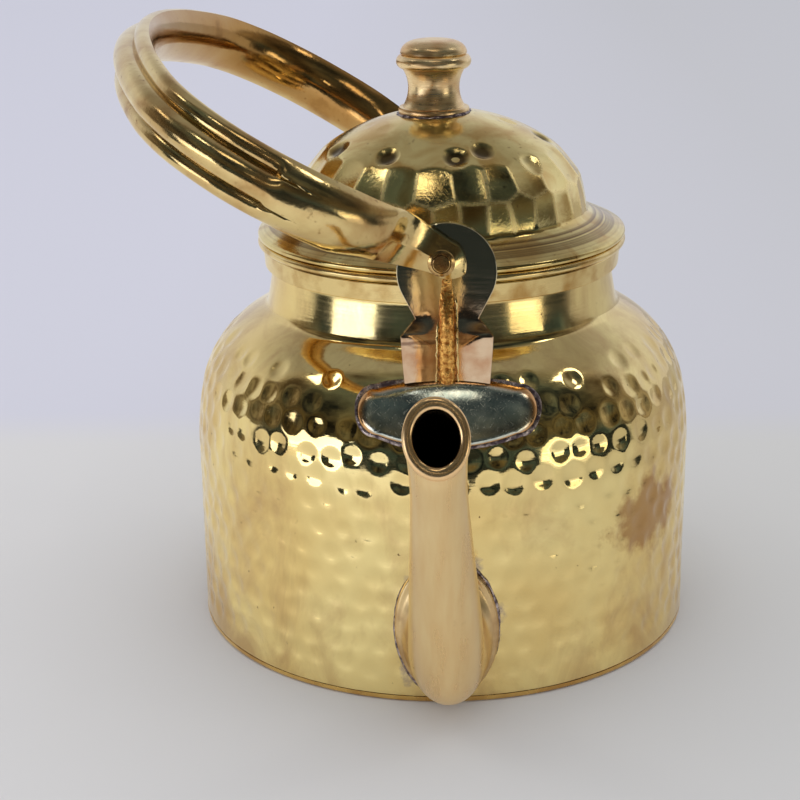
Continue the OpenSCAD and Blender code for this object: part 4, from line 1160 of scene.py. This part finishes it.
# painted highlight: the facets' ridges are coloured pale gold
ridge = add("Attribute", attribute_name="ridge")
coloured = add("Mix", ridge.outputs["Fac"], pitted, "#ffe9a6")
swirl = add("TexNoise", place["Object"], Scale=1 / 0.0013, Detail=4.0, Distortion=3.0)
worn = add("MapRange", radius, 0.026, 0.031, 0.13, 0.07)
swirled = add("MapRange", swirl, 0.3, 0.7, -0.04, 0.08)
satin = add("Math", worn, swirled, operation="ADD")
dull = add("Math", ridge.outputs["Fac"], 0.30, satin, operation="MULTIPLY_ADD")
marks = add("Bump", Height=swirl, Strength=0.10, Distance=0.0002)
rings_bump = add("Bump", Height=turned, Strength=0.06, Distance=0.0001, Normal=marks)
bare_metal(add, coloured, dull, rings_bump)
lid.data.materials.append(lid_finish)
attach(lid, "lid")
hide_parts("lid_shell")

# Lid's rim. A brass ring with a bead is soldered under the flange, and its skirt centres the lid in the
# neck. It is burnished like the mouth ring.
skirt_clear, skirt_h, skirt_t = 0.5, 6.0, 1.0
skirt_low = mouth_z - skirt_h
skirt_r = neck_r + neck_flare * (skirt_low - neck_z) / neck_h - wall_t - skirt_clear
rim = lathe("lid_bead", [(skirt_r - skirt_t, skirt_low + 0.2), (skirt_r - skirt_t + 0.2, skirt_low),
                         (skirt_r - 0.2, skirt_low), (skirt_r, skirt_low + 0.2), (skirt_r, rim_z)]
            + arc((lid_r - lid_bead_r, rim_z + lid_bead_r), lid_bead_r, -90, 90, 14)
            + [(skirt_r - skirt_t, flange_z)], 240, 40)
rim.data.materials.append(ring_finish)
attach(rim, "lid")
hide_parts("lid_rim")

# Knob. It is turned from brass bar, with a foot, a waist, a bead and a rounded cap, and its tenon
# goes through the crown and is hammered over inside.
knob_foot_r, knob_foot_h, knob_waist_r, knob_neck_r = 8.75, 1.8, 6.3, 7.7
knob_bead_r, knob_bead_h, knob_cap_r, knob_cap_h, knob_h = 9.2, 3.4, 8.2, 3.6, 17.0
peen_r, knob_off = 4.2, 1.6
sag = crown_rad - sqrt(crown_rad ** 2 - (knob_foot_r + knob_off) ** 2)
foot_z = lid_top - sag
waist_z = foot_z + knob_foot_h
cap_z = lid_top + knob_h - knob_cap_h
bead_z = cap_z - knob_bead_h
foot_edge = knob_foot_h / 3
waist_mid, waist_h = (waist_z + bead_z) / 2, (bead_z - waist_z) / 2
waist_in = knob_neck_r - knob_waist_r
waist_rad = (waist_h ** 2 + waist_in ** 2) / (2 * waist_in)
waist_a = degrees(asin(waist_h / waist_rad))
bead_h, bead_in = knob_bead_h / 2, knob_bead_r - knob_neck_r
bead_rad = (bead_h ** 2 + bead_in ** 2) / (2 * bead_in)
bead_a = degrees(asin(bead_h / bead_rad))
cap_full, cap_flat = 0.6, 0.9
cap = [(knob_cap_r * cos(radians(t)) ** cap_full, cap_z + knob_cap_h * sin(radians(t)) ** cap_flat)
       for t in range(4, 90, 4)]
knob = lathe("knob_turned", [(0.0, foot_z), (knob_foot_r - foot_edge / 2, foot_z),
                             (knob_foot_r, foot_z + foot_edge), (knob_foot_r, waist_z - foot_edge),
                             (knob_foot_r - foot_edge / 3, waist_z - foot_edge / 4),
                             (knob_foot_r - foot_edge, waist_z)]
             + arc((knob_waist_r + waist_rad, waist_mid), waist_rad, 180 + waist_a, 180 - waist_a, 24)
             + [(knob_neck_r - 0.35, bead_z + 0.1), (knob_neck_r - 0.35, bead_z + 0.35)]
             + arc((knob_bead_r - bead_rad, bead_z + bead_h), bead_rad, -0.8 * bead_a, 0.9 * bead_a, 16)
             + [(knob_neck_r + 0.1, cap_z)] + cap + [(0.0, cap_z + knob_cap_h)], 128, 30, -knob_off)
# Turned brass bar: a warm, pinkish gold, blurred by the fine rings that the lathe's tool left.
knob_finish = plain_metal("turned_brass_bar", ("#f6ddac", "#dab07c"), (0.006, 5.0), (0.40, 0.66),
                          (0.0004, 2.0), (0.22, 0.36), (0.08, 0.0001), (0.05, 0.05, 1.0))
peen = lathe("knob_peen", [(0.0, lid_top - lid_t + 0.1), (peen_r - 0.6, lid_top - lid_t - 0.1),
                           (peen_r, lid_top - lid_t - 0.5), (peen_r - 0.8, lid_top - 2 * lid_t + 0.2),
                           (1.6, lid_top - 2 * lid_t), (0.0, lid_top - 2 * lid_t)], 48, 30, -knob_off)
path = []
for k in range(72):
    a = 2 * pi * k / 72
    x, y = (knob_foot_r + 0.1) * cos(a) - knob_off, (knob_foot_r + 0.1) * sin(a)
    z = crown_c[1] + sqrt(crown_rad ** 2 - x * x - y * y)
    path.append(((x, y, z - 0.15), (0.5 * cos(a), 0.5 * sin(a), 1.0)))
knob_seam = seam("knob_solder", path, 0.6, 0.5, 5)
for piece, finish in ((knob, knob_finish), (peen, knob_finish), (knob_seam, solder_finish)):
    piece.data.materials.append(finish)
    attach(piece, "lid")
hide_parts("lid_knob")
